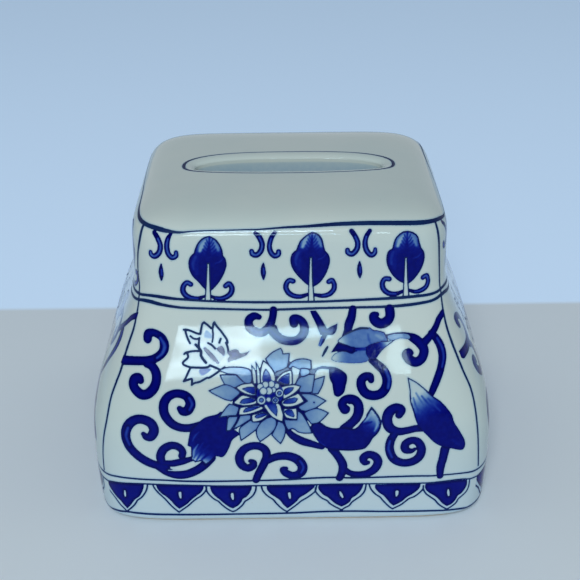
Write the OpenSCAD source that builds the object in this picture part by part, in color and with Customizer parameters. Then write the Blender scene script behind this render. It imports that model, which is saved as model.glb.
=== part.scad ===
// Ceramic tissue box cover for a cube box.
// A square slip-cast shell, open underneath, that flares from an upright neck to a full belly
// and closes over the top in one soft cap with an oval slot.
// It stands on a narrow bare foot ring, where the glaze was wiped off before firing.
// The origin is at the middle of the footprint, on the surface that the cover stands on.

/* [Body] */
// Width across the belly, the widest line of the cover
belly_w = 190; // [170:1:240]
// Width of the upright neck under the cap
neck_w = 147; // [142:1:164]
// Height of the whole cover
body_h = 148; // [144:1:170]
// Height of the widest line above the table
belly_z = 38; // [30:1:55]
// Height where the flare meets the neck
waist_z = 114; // [95:1:118]
// Height where the neck starts to round over into the cap
shoulder_z = 127; // [119:1:130]
// How far the skirt draws in again below the belly, on each side
foot_tuck = 2.3; // [0.5:0.1:3]
// Radius of the rolled edge at the bottom of the glazed wall
foot_round = 3; // [1.5:0.1:4]
// How far the flare's steepest stretch is moved up: 1 leaves it midway, and more moves it up
flare_lift = 1.2; // [1:0.1:1.4]

/* [Corners] */
// Squareness of the plan at the neck: 2 is a circle, and higher is squarer
neck_squareness = 7.5; // [4:0.5:9]
// Squareness of the plan at the belly and foot
belly_squareness = 8; // [5:0.5:11]
// Squareness of the cap where it rolls over from the neck to the flat top
cap_squareness = 4.2; // [3:0.1:5]

/* [Wall] */
// Thickness of the cast wall
wall = 5; // [4:0.1:6]
// Width of the bare foot ring
foot_ring_w = 4; // [2.5:0.1:5]
// Height of the bare foot ring
foot_ring_h = 1.2; // [0.6:0.1:2]

/* [Slot] */
// Length of the clear slot that the tissues come out of
slot_l = 92; // [70:1:94]
// Width of the clear slot
slot_w = 23; // [12:1:26]
// Width of the lip, from where the top starts to fall away to the slot's upright side
lip_reach = 5.5; // [3:0.1:6]
// How far the lip falls over that width, in a quarter of an ellipse
lip_fall = 2.2; // [1.5:0.1:5]
// How far the slot's rim hangs below the inside of the cap, at the ends of the slot
rim_drop = 4; // [1.5:0.1:5]

/* [Hidden] */

// How many points go round the plan, and how many rings each stretch of the wall has
around = 80;
skirt_rings = 13;
neck_rings = 3;
cap_rings = 9;
top_rings = 5;
lip_rings = 4;
foot_rings = 3;

// Evens out the points between the sides and the corners
spacing_power = 0.5;
// The share of the cap's reach where its rings stop following the plan and turn to the slot
cap_reach_share = 0.86;
// The slot's ends are a little fuller than an ellipse's
slot_squareness = 2.6;

glaze_white = "#dfe4e2";
bare_clay = "#cdbfa8";

belly_half = belly_w / 2;
neck_half = neck_w / 2;
shell_z = foot_ring_h;
cap_h = body_h - shoulder_z;
lip_l = slot_l / 2 + lip_reach;
lip_w = slot_w / 2 + lip_reach;
in_half = neck_half - wall;
in_rise = cap_h - wall;
rim_out_l = slot_l / 2 + wall;
rim_out_w = slot_w / 2 + wall;

// A soft step from 0 to 1
function soft_step(t) = let (s = max(0, min(1, t))) s * s * (3 - 2 * s);

// How far up the flare a height lies: 0 at the belly and 1 at the waist
function up_the_flare(z) =
    soft_step(pow(max(0, (z - belly_z) / (waist_z - belly_z)), flare_lift));

// Half the outer width of the wall at a height below the shoulder
function wall_half(z) =
    let (
        below = max(0, (belly_z - z) / (belly_z - shell_z)),
        roll = max(0, (shell_z + foot_round - z) / foot_round)
    )
    neck_half
    + (belly_half - neck_half) * (1 - up_the_flare(z))
    - foot_tuck * below * below
    - foot_round * (1 - sqrt(max(0, 1 - roll * roll)));

function squareness(z) =
    belly_squareness + (neck_squareness - belly_squareness) * up_the_flare(z);

// Height of the cap over a point whose reach is 0 at the middle and 1 at the neck's outer face
function cap_z(reach, rise) =
    shoulder_z + rise * pow(max(0, 1 - pow(min(1, reach), cap_squareness)), 1 / cap_squareness);

// Direction of the point with this number, with a size that doesn't matter
function heading(i) =
    let (a = 360 * i / around, c = cos(a), s = sin(a))
    [sign(c) * pow(abs(c), spacing_power), sign(s) * pow(abs(s), spacing_power)];

// Length of a direction by the superellipse rule
function reach_of(p, power) = pow(pow(abs(p.x), power) + pow(abs(p.y), power), 1 / power);

// One closed ring of the plan, rounded square, at a height
function plan_ring(half, power, z) =
    [for (i = [0 : around - 1])
        let (p = heading(i), k = half / reach_of(p, power))
        [p.x * k, p.y * k, z]];

// One ring of the wall at a height, on its outer face or as far inside it as the inset says
function wall_ring(z, inset) = plan_ring(wall_half(z) - inset, squareness(z), z);

// Heights of the wall's rings: the rolled foot, the skirt up to the waist, and the neck
function foot_z(i) = shell_z + foot_round * (1 - cos(90 * i / foot_rings));
function skirt_z(i) =
    shell_z + foot_round + (waist_z - shell_z - foot_round) * i / skirt_rings;
function neck_z(i) = waist_z + (shoulder_z - waist_z) * i / neck_rings;

// One closed oval ring round the slot, as points in plan
function slot_ring(half_l, half_w) =
    [for (i = [0 : around - 1])
        let (p = heading(i), k = 1 / reach_of(p, slot_squareness))
        [p.x * k * half_l, p.y * k * half_w]];

// One ring of the cap's rolled edge, from the shoulder up to where the top rings start
function cap_ring(i, half, rise) =
    let (
        last = acos(pow(cap_reach_share, cap_squareness / 2)),
        reach = pow(cos(last * i / cap_rings), 2 / cap_squareness)
    )
    plan_ring(half * reach, neck_squareness, cap_z(reach, rise));

// The rings that lie on the cap between the rounded square and the slot's oval.
// Their plan is a mix of the two outlines, and their height comes from the cap itself.
function top_ring(share, half, rise, half_l, half_w) =
    let (
        square_plan = plan_ring(half * cap_reach_share, neck_squareness, 0),
        oval_plan = slot_ring(half_l, half_w)
    )
    [for (i = [0 : around - 1])
        let (
            x = (1 - share) * square_plan[i].x + share * oval_plan[i].x,
            y = (1 - share) * square_plan[i].y + share * oval_plan[i].y
        )
        [x, y, cap_z(reach_of([x, y], neck_squareness) / half, rise)]];

// The slot's lip: the top falls away in a quarter of an ellipse and then drops straight down
function lip_ring(turn, half, rise) =
    let (
        in = lip_reach * (1 - sin(turn)),
        drop = lip_fall * (1 - cos(turn)),
        crest = slot_ring(lip_l, lip_w),
        line = slot_ring(slot_l / 2 + in, slot_w / 2 + in)
    )
    [for (i = [0 : around - 1])
        [line[i].x, line[i].y,
         cap_z(reach_of(crest[i], neck_squareness) / half, rise) - drop]];

// The flat lower edge of the slot's rim, which also hangs clear below the inside of the cap
rim_z = min(
    cap_z(lip_l / neck_half, cap_h) - lip_fall,
    cap_z(rim_out_l / in_half, in_rise)
) - rim_drop;

function rim_ring(grow) =
    [for (p = slot_ring(slot_l / 2 + grow, slot_w / 2 + grow)) [p.x, p.y, rim_z]];

// Half the outer width of the foot ring, where the rolled edge of the wall ends
foot_out = wall_half(shell_z);

// The outside, from the foot up over the cap and down the slot
outer_rings = concat(
    [for (i = [0 : foot_rings - 1]) wall_ring(foot_z(i), 0)],
    [for (i = [0 : skirt_rings - 1]) wall_ring(skirt_z(i), 0)],
    [for (i = [0 : neck_rings - 1]) wall_ring(neck_z(i), 0)],
    [for (i = [0 : cap_rings - 1]) cap_ring(i, neck_half, cap_h)],
    [for (i = [0 : top_rings - 1]) top_ring(i / top_rings, neck_half, cap_h, lip_l, lip_w)],
    [for (i = [0 : lip_rings]) lip_ring(90 * i / lip_rings, neck_half, cap_h)],
    [rim_ring(0)]
);

// The inside, from the lower edge of the slot's rim back down to the foot
inner_rings = concat(
    [rim_ring(wall)],
    [for (i = [0 : top_rings - 1])
        top_ring(1 - i / top_rings, in_half, in_rise, rim_out_l, rim_out_w)],
    [for (i = [cap_rings : -1 : 1]) cap_ring(i, in_half, in_rise)],
    [for (i = [neck_rings : -1 : 1]) wall_ring(neck_z(i), wall)],
    [for (i = [skirt_rings : -1 : 0]) wall_ring(skirt_z(i), wall)],
    [plan_ring(foot_out - foot_ring_w, belly_squareness, shell_z)]
);

// Skins a closed chain of rings, each of which has the same number of points
module skin(rings) {
    count = len(rings);
    points = [for (ring = rings) for (p = ring) p];
    faces = [for (j = [0 : count - 1]) for (i = [0 : around - 1])
        let (
            i2 = (i + 1) % around,
            j2 = (j + 1) % count,
            a = j * around + i,
            b = j * around + i2,
            c = j2 * around + i2,
            d = j2 * around + i
        )
        each [[a, c, b], [a, d, c]]];
    polyhedron(points, faces, convexity = 6);
}

module glazed_shell() {
    color(glaze_white) skin(concat(outer_rings, inner_rings));
}

// The unglazed ring that the cover stands on
module bare_foot_ring() {
    color(bare_clay)
        linear_extrude(foot_ring_h)
            difference() {
                polygon([for (p = plan_ring(foot_out, belly_squareness, 0)) [p.x, p.y]]);
                polygon([for (p = plan_ring(foot_out - foot_ring_w, belly_squareness, 0)) [p.x, p.y]]);
            }
}

glazed_shell();
bare_foot_ring();
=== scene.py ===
"""Looks of a blue and white ceramic tissue box cover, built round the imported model.

The wall is one smooth shell, worked out from the same sizes as the solid. Its painting is laid
down mark by mark, as a painter does, on a sheet that follows each side. A mark is a line or an
area, and each vertex keeps how far it lies from the nearest brush edge. The glaze turns those
distances into cobalt under a clear, glassy surface.
"""

import logging
import math
from collections.abc import Sequence
from dataclasses import dataclass, field
from enum import Enum

import bpy
import numpy as np
from mathutils import Matrix


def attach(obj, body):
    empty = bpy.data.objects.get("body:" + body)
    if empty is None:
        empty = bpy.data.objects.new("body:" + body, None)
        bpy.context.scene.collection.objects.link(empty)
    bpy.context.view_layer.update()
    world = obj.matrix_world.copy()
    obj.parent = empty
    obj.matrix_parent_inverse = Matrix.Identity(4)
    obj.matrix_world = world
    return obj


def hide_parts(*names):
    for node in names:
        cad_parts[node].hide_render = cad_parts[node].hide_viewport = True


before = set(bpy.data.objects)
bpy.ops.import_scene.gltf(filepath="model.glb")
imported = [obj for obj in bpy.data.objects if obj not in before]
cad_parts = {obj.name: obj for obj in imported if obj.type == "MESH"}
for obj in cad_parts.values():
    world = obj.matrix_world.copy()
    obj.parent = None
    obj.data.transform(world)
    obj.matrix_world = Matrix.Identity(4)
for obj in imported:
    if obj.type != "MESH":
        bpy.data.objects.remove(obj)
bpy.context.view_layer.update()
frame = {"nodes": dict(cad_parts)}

log = logging.getLogger("tissue_box_cover")

MM = 0.001
BODY = "root"
Array = np.ndarray
Points = tuple[tuple[float, ...], ...]
Colour = tuple[float, float, float]
Socket = bpy.types.NodeSocket

# A third number of this value marks a corner in an outline
CORNER = -1.0

# Distances on the sheet, in millimetres: what is kept where no brush has been, and how far past
# a mark its own distances are worked out
UNTOUCHED = 3.0
PAST_MARK = 1.6
# How far a line's cobalt spread to either side in the firing
SPREAD = 0.16
# Half the width under which a stroke counts as a fine line, and how far past it that is kept
FINE_HALF = 0.6
FINE_PAST = 0.35
# How far from older paint a wash counts as fresh, and how far past itself it then sets the tone
FRESH_GAP = 0.3
FRESH_PAST = 0.8
# Width over which the tone of a wash and of a streak runs out at its edge
WASH_RUN = 0.5
STREAK_RUN = 0.9
# How far a streak pushes full cobalt away at its edge, and at most
STREAK_PUSH = 0.15
STREAK_PUSH_MOST = 0.4
# Height that the lamps face, in metres
LAMP_AIM_Z = 0.09


class Slot(Enum):
    """Material slots of the record."""

    GLAZE = "blue_and_white_glaze"
    CLAY = "unglazed_porcelain"


class Node(Enum):
    """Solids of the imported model."""

    SHELL = "glazed_shell"
    FOOT = "bare_foot_ring"


class Side(Enum):
    """The four sides, each by how many quarter turns it lies from the front."""

    FRONT = 0
    RIGHT = 1
    BACK = 2
    LEFT = 3


class Face(Enum):
    """The two pairs of sides, whose corner lines wander in opposite directions."""

    FRONT_AND_BACK = "front_and_back"
    ENDS = "ends"


class Pigment(Enum):
    """What a mark does to the sheet."""

    INK = "ink"
    WASH = "wash"
    STREAK = "streak"
    BARE = "bare"


@dataclass(frozen=True)
class Mark:
    """One mark of the brush, in the pixels of the photograph or in millimetres on the sheet.

    Each point is x, y and, for a line, the line's width there. A mark with one width for the
    whole line has it in `width`, which is the width of the outline on a closed mark. `fade`
    is two points, each with the tone there.
    """

    points: Points
    pigment: Pigment = Pigment.INK
    closed: bool = False
    width: float = 0.0
    tone: float = 1.0
    fade: Points = ()


def stroke(*points: tuple[float, ...]) -> Mark:
    """Returns a brush stroke in full cobalt whose points give its width."""
    return Mark(points)


def line(width: float, *points: tuple[float, ...]) -> Mark:
    """Returns a line in full cobalt with one width."""
    return Mark(points, width=width)


def wash(tone: float, *points: tuple[float, ...], width: float = 0.0, fade: Points = ()) -> Mark:
    """Returns an area of thinned cobalt, with an outline where a width is given."""
    return Mark(points, Pigment.WASH, True, width, tone, fade)


def streak(tone: float, *points: tuple[float, ...]) -> Mark:
    """Returns a soft stroke that changes the tone of the paint under it."""
    return Mark(points, Pigment.STREAK, tone=tone)


def solid(*points: tuple[float, ...]) -> Mark:
    """Returns an area in full cobalt."""
    return Mark(points, closed=True)


def bare(*points: tuple[float, ...]) -> Mark:
    """Returns a slit left white, whose points give its width."""
    return Mark(points, Pigment.BARE)


# The scroll that fills the flare: stems, curls and hooks, in pixels of the photograph
SCROLL_STROKES = (
    stroke((147.5, 338.7, 8.5), (148.3, 334.2, 9), (152.5, 332.5, 7), (157.5, 334.2, 7),
           (162.5, 338.3, 7.5), (164.5, 345.8, 9), (162.5, 352.5, 8.5), (156.7, 357.5, 8),
           (150, 360, 8), (140, 360.8, 8), (130, 360.5, 8), (123.5, 360.2, 8)),
    stroke((147, 363.5, 8), (152, 366, 8.5), (156, 373, 9), (156.3, 381, 9), (153.5, 388.5, 9.5),
           (147.5, 394, 9.5), (140.5, 394, 9.5), (134, 387, 9.5), (134, 380, 9.5),
           (138.5, 377.8, 9), (140.5, 380.3, 7)),
    stroke((259, 317, 5), (254, 316, 7), (249, 320, 8), (249.5, 327, 8), (255, 331.5, 8),
           (262, 332.5, 8), (269, 327, 8), (272.5, 318, 7), (273.5, 310, 7)),
    line(3, (275, 326.7), (277.5, 333), (280, 335)),
    stroke((294, 323.5, 8), (293.5, 319, 8), (298, 318.5, 7), (302.5, 322, 7.5),
           (304.5, 328, 8.5), (303, 334.5, 8), (297, 340, 8), (289, 341, 8), (281, 339, 8),
           (274, 334, 7), (270, 330, 6)),
    solid((310, 310.5, CORNER), (316, 310.5, CORNER), (321, 318), (327, 328.5, CORNER),
          (337.5, 323.3, CORNER), (336.5, 330), (332.5, 334.8), (322.5, 334.8), (320, 334),
          (316, 324), (312, 316)),
    stroke((325, 334, 4), (322.4, 340, 4), (320, 345, 2.4)),
    streak(0.25, (322, 339, 2), (319, 347, 3), (317, 354, 3)),
    stroke((372, 360, 7), (378, 365, 8), (384, 371, 8.5), (387, 379, 9), (386, 387, 9),
           (381, 393.5, 9), (373, 395.5, 9), (365.5, 393, 9), (361.5, 386.5, 9),
           (361.5, 380, 8.5), (365.5, 376.5, 8), (370, 376.5, 7), (371, 380, 6)),
    stroke((389.5, 309, 9), (390, 316, 9), (386.5, 321.5, 9.5), (380.5, 323.5, 9.5),
           (375, 320.5, 9.5), (373.5, 316, 8), (376.5, 314.5, 5)),
    stroke((352.8, 309, 7), (351.5, 317, 8), (349, 324, 8.5), (347.5, 331, 7), (344.5, 337, 5)),
    stroke((444.2, 310.8, 6.5), (439.2, 318.3, 6.5), (435.8, 326.7, 6.5), (430.8, 335, 7),
           (425, 341.7, 8)),
    stroke((386, 335.2, 1), (397, 333.2, 1.2), (406, 333.4, 1.6), (410, 336.4, 6.4),
           (414.4, 338.6, 8.4), (420, 343, 9),
           (424, 350, 9), (422, 358, 9), (416, 362, 9), (409.5, 359.5, 9), (406, 354.5, 8),
           (408.5, 352, 7), (411, 353, 5)),
    stroke((431, 333, 6), (436, 338, 7), (440.5, 346, 8), (442.5, 356, 8), (441, 367, 7.5),
           (438, 377, 7.5), (434, 387, 7), (431, 394, 6)),
    stroke((200, 426, 9), (190, 428, 8), (180, 427.5, 8), (171, 423, 8.5), (164.5, 414, 9),
           (163.8, 404, 9), (168.5, 396.5, 8.5), (177, 393.5, 8), (186, 396, 8.5),
           (190.5, 403, 9.5), (188, 410, 9.5), (183, 411.5, 8), (179.5, 408.5, 5)),
    stroke((166, 467, 8), (156, 465, 8.5), (146, 461, 9), (136, 454, 9), (128.5, 445, 9),
           (125.5, 434, 9.5), (128.5, 425, 9.5), (135, 420, 9), (143, 419.5, 9),
           (151, 423.5, 9.5), (154, 430.5, 9.5), (151, 436.5, 9), (146.5, 437, 7),
           (143.5, 434, 4.5)),
    stroke((182, 456, 7), (182.5, 451.5, 7), (178.5, 447, 7.5), (171.5, 445.5, 8),
           (164, 449, 8.5), (160.5, 456, 8.5), (162, 463, 8)),
    stroke((158, 466, 8), (168, 472, 9), (180, 475, 9), (192, 472.5, 9), (203, 466, 9),
           (211, 458, 9)),
    stroke((163, 463, 6), (172, 463.5, 7), (182, 461.5, 7), (191, 459, 5)),
    bare((168, 470.4, 0.8), (180, 470.2, 1.8), (188, 468.2, 2.3), (195, 465, 2.4),
         (202, 460.4, 1.4)),
    stroke((256, 480, 7), (258.5, 474, 7.5), (263, 465.5, 8), (266.5, 457, 8), (265.5, 450.5, 8),
           (260, 446.5, 8), (252, 446, 8), (244, 449.5, 8.5), (239.5, 457, 8.5),
           (241.5, 464.5, 8.5), (247.5, 468, 8), (252.5, 466, 8), (253.5, 462.5, 6),
           (250.5, 461, 4)),
    stroke((267, 461, 7), (274, 457.5, 8), (282, 456, 8.5), (290, 456.5, 9), (298, 460, 9.5),
           (302.5, 466.5, 9.5), (300.5, 473, 9), (293, 475.5, 8), (286, 473, 8), (283, 469.5, 6),
           (286, 468.5, 4)),
    stroke((345, 409, 10), (343, 404, 10), (346.5, 400, 9.5), (353, 399.5, 9), (358, 404, 9),
           (358.5, 412, 9.5), (355.5, 419, 9), (350, 424.5, 9), (344, 429, 9)),
    bare((347.5, 404.2, 1.4), (351.7, 407.5, 1.8), (352.5, 411, 1)),
    stroke((332, 449, 8), (338, 456, 8), (342.5, 464, 8.5), (342.5, 471, 8), (339.5, 478, 7)),
    stroke((344, 469, 6), (350, 473, 6), (358, 474.5, 7), (367, 473.5, 8), (374.5, 469, 8.5),
           (378, 462, 8.5), (375, 456.5, 8.5), (368.5, 454.5, 8), (363.5, 458, 8),
           (364.5, 462.5, 6), (368, 462.5, 4)),
    stroke((399, 415, 7), (401, 410, 9), (396, 408, 9), (389.5, 412, 10), (387, 420, 10),
           (390, 428, 9.5), (398, 431.5, 8), (407, 430.5, 7), (416, 428.5, 7), (424, 428, 7)),
    stroke((396, 432, 7), (391, 440, 8), (389.5, 449, 8.5), (393, 458, 8.5), (401, 462.5, 8.5),
           (411, 462, 8.5), (419, 457, 8.5), (421.5, 449, 8.5), (418, 442, 8), (411.5, 440.5, 7.5),
           (405.5, 444, 8), (405.5, 449.5, 8), (411, 451, 5), (415, 449, 3)),
    stroke((445, 449, 9), (443, 458, 8.5), (440.5, 467, 8), (440, 476, 6)),
    stroke((134, 320, 4), (130, 321.7, 6), (125.8, 326.7, 7), (121.7, 333.3, 7.5),
           (117.5, 343.3, 7.5), (112.5, 355, 7), (106.7, 366.7, 7), (100.8, 375.8, 7)),
)

# Lighter runs inside those strokes, where the brush was half dry
SCROLL_STREAKS = (
    streak(0.42, (160.5, 338, 3), (164.5, 345.8, 4), (162.5, 353, 3.4), (157, 358, 2.4)),
    streak(0.45, (385.5, 370, 3), (389, 379, 3.6), (388, 388, 3)),
    streak(0.5, (437, 338, 2.4), (441.8, 347, 3), (443.6, 357, 2.6), (442, 367, 2)),
    streak(0.5, (128, 428, 3), (126, 436, 3), (129.5, 445, 2.4)),
    streak(0.5, (189, 398, 2.6), (192, 404, 3), (189.5, 410, 2.4)),
    streak(0.5, (390, 441, 2.4), (388.5, 449, 3), (392, 457.5, 2.4)),
    streak(0.5, (300, 461, 2.4), (303.5, 467, 2.8), (301, 473, 2)),
)

# The large leaves, each with its own run from pale to dark, two ending in a painted reflection
LEAVES = (
    # Its near-white left end is a painted reflection of the window panes
    wash(1.0, (338, 341.4), (342.5, 336.5), (348, 333), (354, 330.3), (361, 328), (369, 327.6),
         (373, 330), (379, 331), (384, 332.5, CORNER), (386, 336, CORNER), (388, 341.2, CORNER),
         (380, 342), (372, 344.5), (368, 348), (355, 348), (345, 344.5), width=0.9,
         fade=((338, 341, 0.02), (351, 337, 0.27))),
    streak(0.4, (368, 334, 1), (369, 340, 2), (371, 344, 1)),
    streak(0.16, (376, 335, 2.4), (382, 338, 4)),
    stroke((345, 334.6, 1), (354, 330.4, 1.4), (361, 328.2, 1.8), (368, 328.4, 1.2)),
    # Its near-white left end is a painted reflection of the window panes
    wash(1.0, (331.6, 358.8), (335, 353.8), (342, 351.5), (351, 352), (360, 350), (369, 350),
         (369, 358), (367.6, 360.6), (364, 362.2), (355, 363.2), (345, 362.6), (335.7, 361.4),
         width=0.6, fade=((332, 357, 0.02), (349, 357, 0.3))),
    solid((331, 352.6, CORNER), (334.2, 347.4), (337.8, 342.2, CORNER), (346, 344.4),
          (355, 347.4), (368, 347.2), (371, 349.4), (357, 351), (351.6, 353.8), (346, 352),
          (338, 351.4)),
    streak(0.5, (356, 349.6, 1.4), (366, 348.8, 1.8)),
    stroke((327.5, 347, 1.6), (325, 351.4, 2.2), (322.6, 356, 1)),
    wash(1.0, (370, 345), (380, 342), (388, 341.2), (395.4, 339.2, CORNER), (388, 345),
         (383, 349), (378, 355), (376.5, 357.4, CORNER), (371, 359), (366.6, 354),
         (367, 348), width=0.9, fade=((387, 342.6, 0.08), (377, 349.4, 1.0))),
    wash(0.2, (387.4, 336), (397, 333.6), (408, 334.4), (409.6, 338.8), (400, 338.4),
         (391, 340.4), width=0.5),
    solid((309.2, 373), (309.6, 369.8), (315.8, 368.2), (321.7, 366.1), (328.3, 366.5),
          (335.8, 367.3), (342.5, 370.7), (346.7, 374.8), (347.1, 379.8), (345.8, 385.7),
          (344.2, 392.3), (340.8, 395.7), (337.5, 396.9), (334.2, 394.8), (332.9, 389),
          (332.1, 384), (329.6, 378.2), (328.8, 369.4, CORNER), (320, 369), (315.8, 372.3),
          (315, 377.3, CORNER)),
    wash(1.0, (196.7, 425), (205, 418.3), (216.7, 415), (221.7, 412.5), (228.3, 420),
         (230, 426.7), (238.3, 433.3), (236.7, 435.8), (231.7, 440), (228.3, 448.3),
         (225, 454.2), (221.7, 456.7), (215.8, 455.8), (211.7, 460), (206, 464.4, CORNER),
         (202, 460.6, CORNER), (195.4, 461.8, CORNER), (191.8, 459.4, CORNER),
         (191.7, 446.9, CORNER), (188.1, 445.4, CORNER), (191, 431.5), width=1.2,
         fade=((193.4, 460, 0.03), (202, 445, 1.0))),
    streak(0.62, (194, 458, 0.8), (198.5, 450, 1), (203, 443, 0.8)),
    streak(0.8, (196.5, 460.4, 0.8), (202, 452.5, 1.2), (209, 445, 1)),
    streak(0.12, (193, 455, 1.2), (194.4, 450, 1.6), (198, 444.5, 0.8)),
    streak(0.5, (192.6, 441, 1), (195, 436, 1.6), (199, 432, 0.8)),
    streak(0.9, (202, 459.4, 1.4), (207, 455, 2), (213, 450, 1)),
    stroke((287, 430, 5), (293, 436, 7), (302, 441, 8), (312, 444, 7), (322, 447, 5)),
    wash(1.0, (311.5, 427), (315, 423.4), (320.5, 423.5), (326, 427), (334, 429), (344, 428.3),
         (355, 429.4), (362, 423), (366, 417), (371.5, 407.5, CORNER), (376, 413), (380, 420),
         (380, 427), (377, 433), (372, 438), (369, 443), (364, 448), (356, 449.5), (348, 450),
         (338, 449.4), (329, 448.5), (323, 445), (318, 440), (313, 432), width=1.8,
         fade=((374, 411, 0.05), (361, 434, 1.0))),
    streak(0.16, (375.4, 417, 2), (377.4, 424, 3), (374.6, 431, 1.6)),
    streak(0.14, (363.4, 422.6, 1.2), (367.6, 418.6, 2.4), (371, 413, 1.8)),
    streak(0.95, (360, 424.6, 1), (366, 423.6, 1.4), (371.6, 422, 0.8)),
    streak(0.9, (359, 430, 1.4), (365, 429, 1.6), (370.6, 430.4, 1)),
    streak(0.42, (318, 440, 0.7), (321, 443, 0.9), (325, 445.6, 0.7)),
    bare((354, 427.5, 1), (361.7, 420.8, 1.8), (366, 416, 1)),
    bare((299.5, 434, 1), (305, 435.2, 2.2), (311.5, 436.6, 2.8), (314.5, 438.4, 1)),
    wash(1.0, (408.1, 378.1, CORNER), (416.3, 382.5), (425, 389.4), (432.5, 396.3),
         (440, 401.5), (446.3, 408.1), (451.3, 415), (453.8, 422.5), (458.8, 430.5),
         (463.8, 439.5), (464.4, 446), (461.3, 449.4), (452.5, 448.1), (441.3, 445.6),
         (433.8, 441.3), (427.5, 435), (420, 427.5), (416.3, 420), (413.8, 411.3),
         (410.6, 401.3), (410, 390), width=1.2, fade=((417, 392, 0.03), (436, 422, 1.0))),
    streak(0.4, (416, 393, 0.6), (420, 399.6, 1), (424.6, 406.6, 0.8)),
    streak(0.62, (421.6, 396, 0.6), (427.6, 403, 1.4), (433, 410, 0.8)),
    streak(0.5, (413.4, 398, 0.6), (416, 406, 1.2), (420, 414, 0.8)),
    streak(0.5, (428, 398.6, 0.8), (434, 404.6, 1.6), (440, 411, 1)),
    streak(0.85, (452, 440, 3), (458, 444, 3.4), (461, 446, 2)),
)

# The small lotus, in thin outlines with a few dark fills
SMALL_LOTUS = (
    wash(0.02, (184, 330), (191.3, 331), (200.3, 334), (204, 322.3), (211.3, 328.3),
         (214.3, 322.3), (224, 335.3), (227.7, 342.7), (228, 352), (224.2, 357), (218.3, 363),
         (210, 366), (203, 364), (201, 351.3), (190, 343.3)),
    wash(0.02, (184.3, 354), (194.7, 351), (201, 351.3), (206, 362.7), (224.7, 367.3),
         (215.3, 374), (206.7, 378), (191.7, 385), (191, 379), (183.7, 381.3), (190.7, 367.3),
         (183, 363.7), (188, 357)),
    wash(0.2, (204.5, 337), (206, 330.5), (211, 334), (212, 338)),
    wash(0.42, (200, 369.3), (211, 369.3), (204, 374.7), (200.5, 374.5)),
    line(1.5, (183.7, 329.7), (186.7, 329.7), (191.3, 331), (196.7, 333.3), (200.3, 334)),
    line(1.5, (185.3, 330.3), (186.3, 334.7), (188, 339.3), (190, 343.3)),
    line(1.5, (200.3, 334), (201, 329.3), (202.3, 324), (204, 322.3, CORNER), (207.3, 324.7),
         (211.3, 328.3, CORNER), (212.7, 328), (213.3, 324), (214.3, 322.3, CORNER),
         (216.7, 326), (220.7, 330.7), (224, 335.3), (226.7, 339.3), (227.7, 342.7)),
    line(1.3, (199.3, 338), (198.8, 345), (200, 350)),
    line(2, (195.7, 344.7), (199.3, 348.7), (201, 351.3), (201, 355.3), (202.7, 358.7),
         (206, 362.7)),
    line(1.5, (184.3, 354), (186.7, 352.3), (194.7, 351), (201, 351.3)),
    line(1.5, (186.7, 352.3), (188, 356), (187.3, 358.3), (183.3, 362), (183, 363.7),
         (184.7, 365.3), (190.7, 367.3), (200, 367.7), (207.3, 367.3), (210, 365.3)),
    line(1.5, (190.7, 367.3), (188, 372.7), (185.7, 378), (183.7, 381.3, CORNER), (186.7, 380.3),
         (191, 379), (192, 380), (191.7, 385, CORNER), (194, 383.3), (200, 381.7),
         (206.7, 378), (209.3, 377.7), (215.3, 374), (220.7, 370), (224.7, 367.3)),
    line(1.5, (210, 365.3), (214.7, 367.3), (220, 369.7)),
    stroke((204.7, 348.3, 1.5), (208, 352, 3.4), (213, 357.5, 3.6), (218.3, 363, 1.5)),
    line(1.4, (208, 343), (212, 345.3), (215.3, 348.7)),
    solid((218.3, 346.5), (222, 346), (224.5, 350), (224.2, 356), (221, 353.5), (217, 349.5)),
    solid((227.3, 352), (234.7, 349.3), (238, 350), (240, 352.7), (244.7, 352.7),
          (250, 350.7, CORNER), (246, 355.3), (240, 358), (234.7, 360), (228, 362, CORNER),
          (227.7, 358.7), (229.3, 356)),
    line(1.5, (226, 342.7), (227.7, 347.3), (228.5, 352)),
    line(1.2, (190.3, 336), (194, 338.7), (199.3, 339)),
    line(1.0, (212.7, 329.3), (213, 336), (212.3, 342)),
    line(1.5, (220.7, 338.7), (219.3, 342.7)),
)

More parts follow.
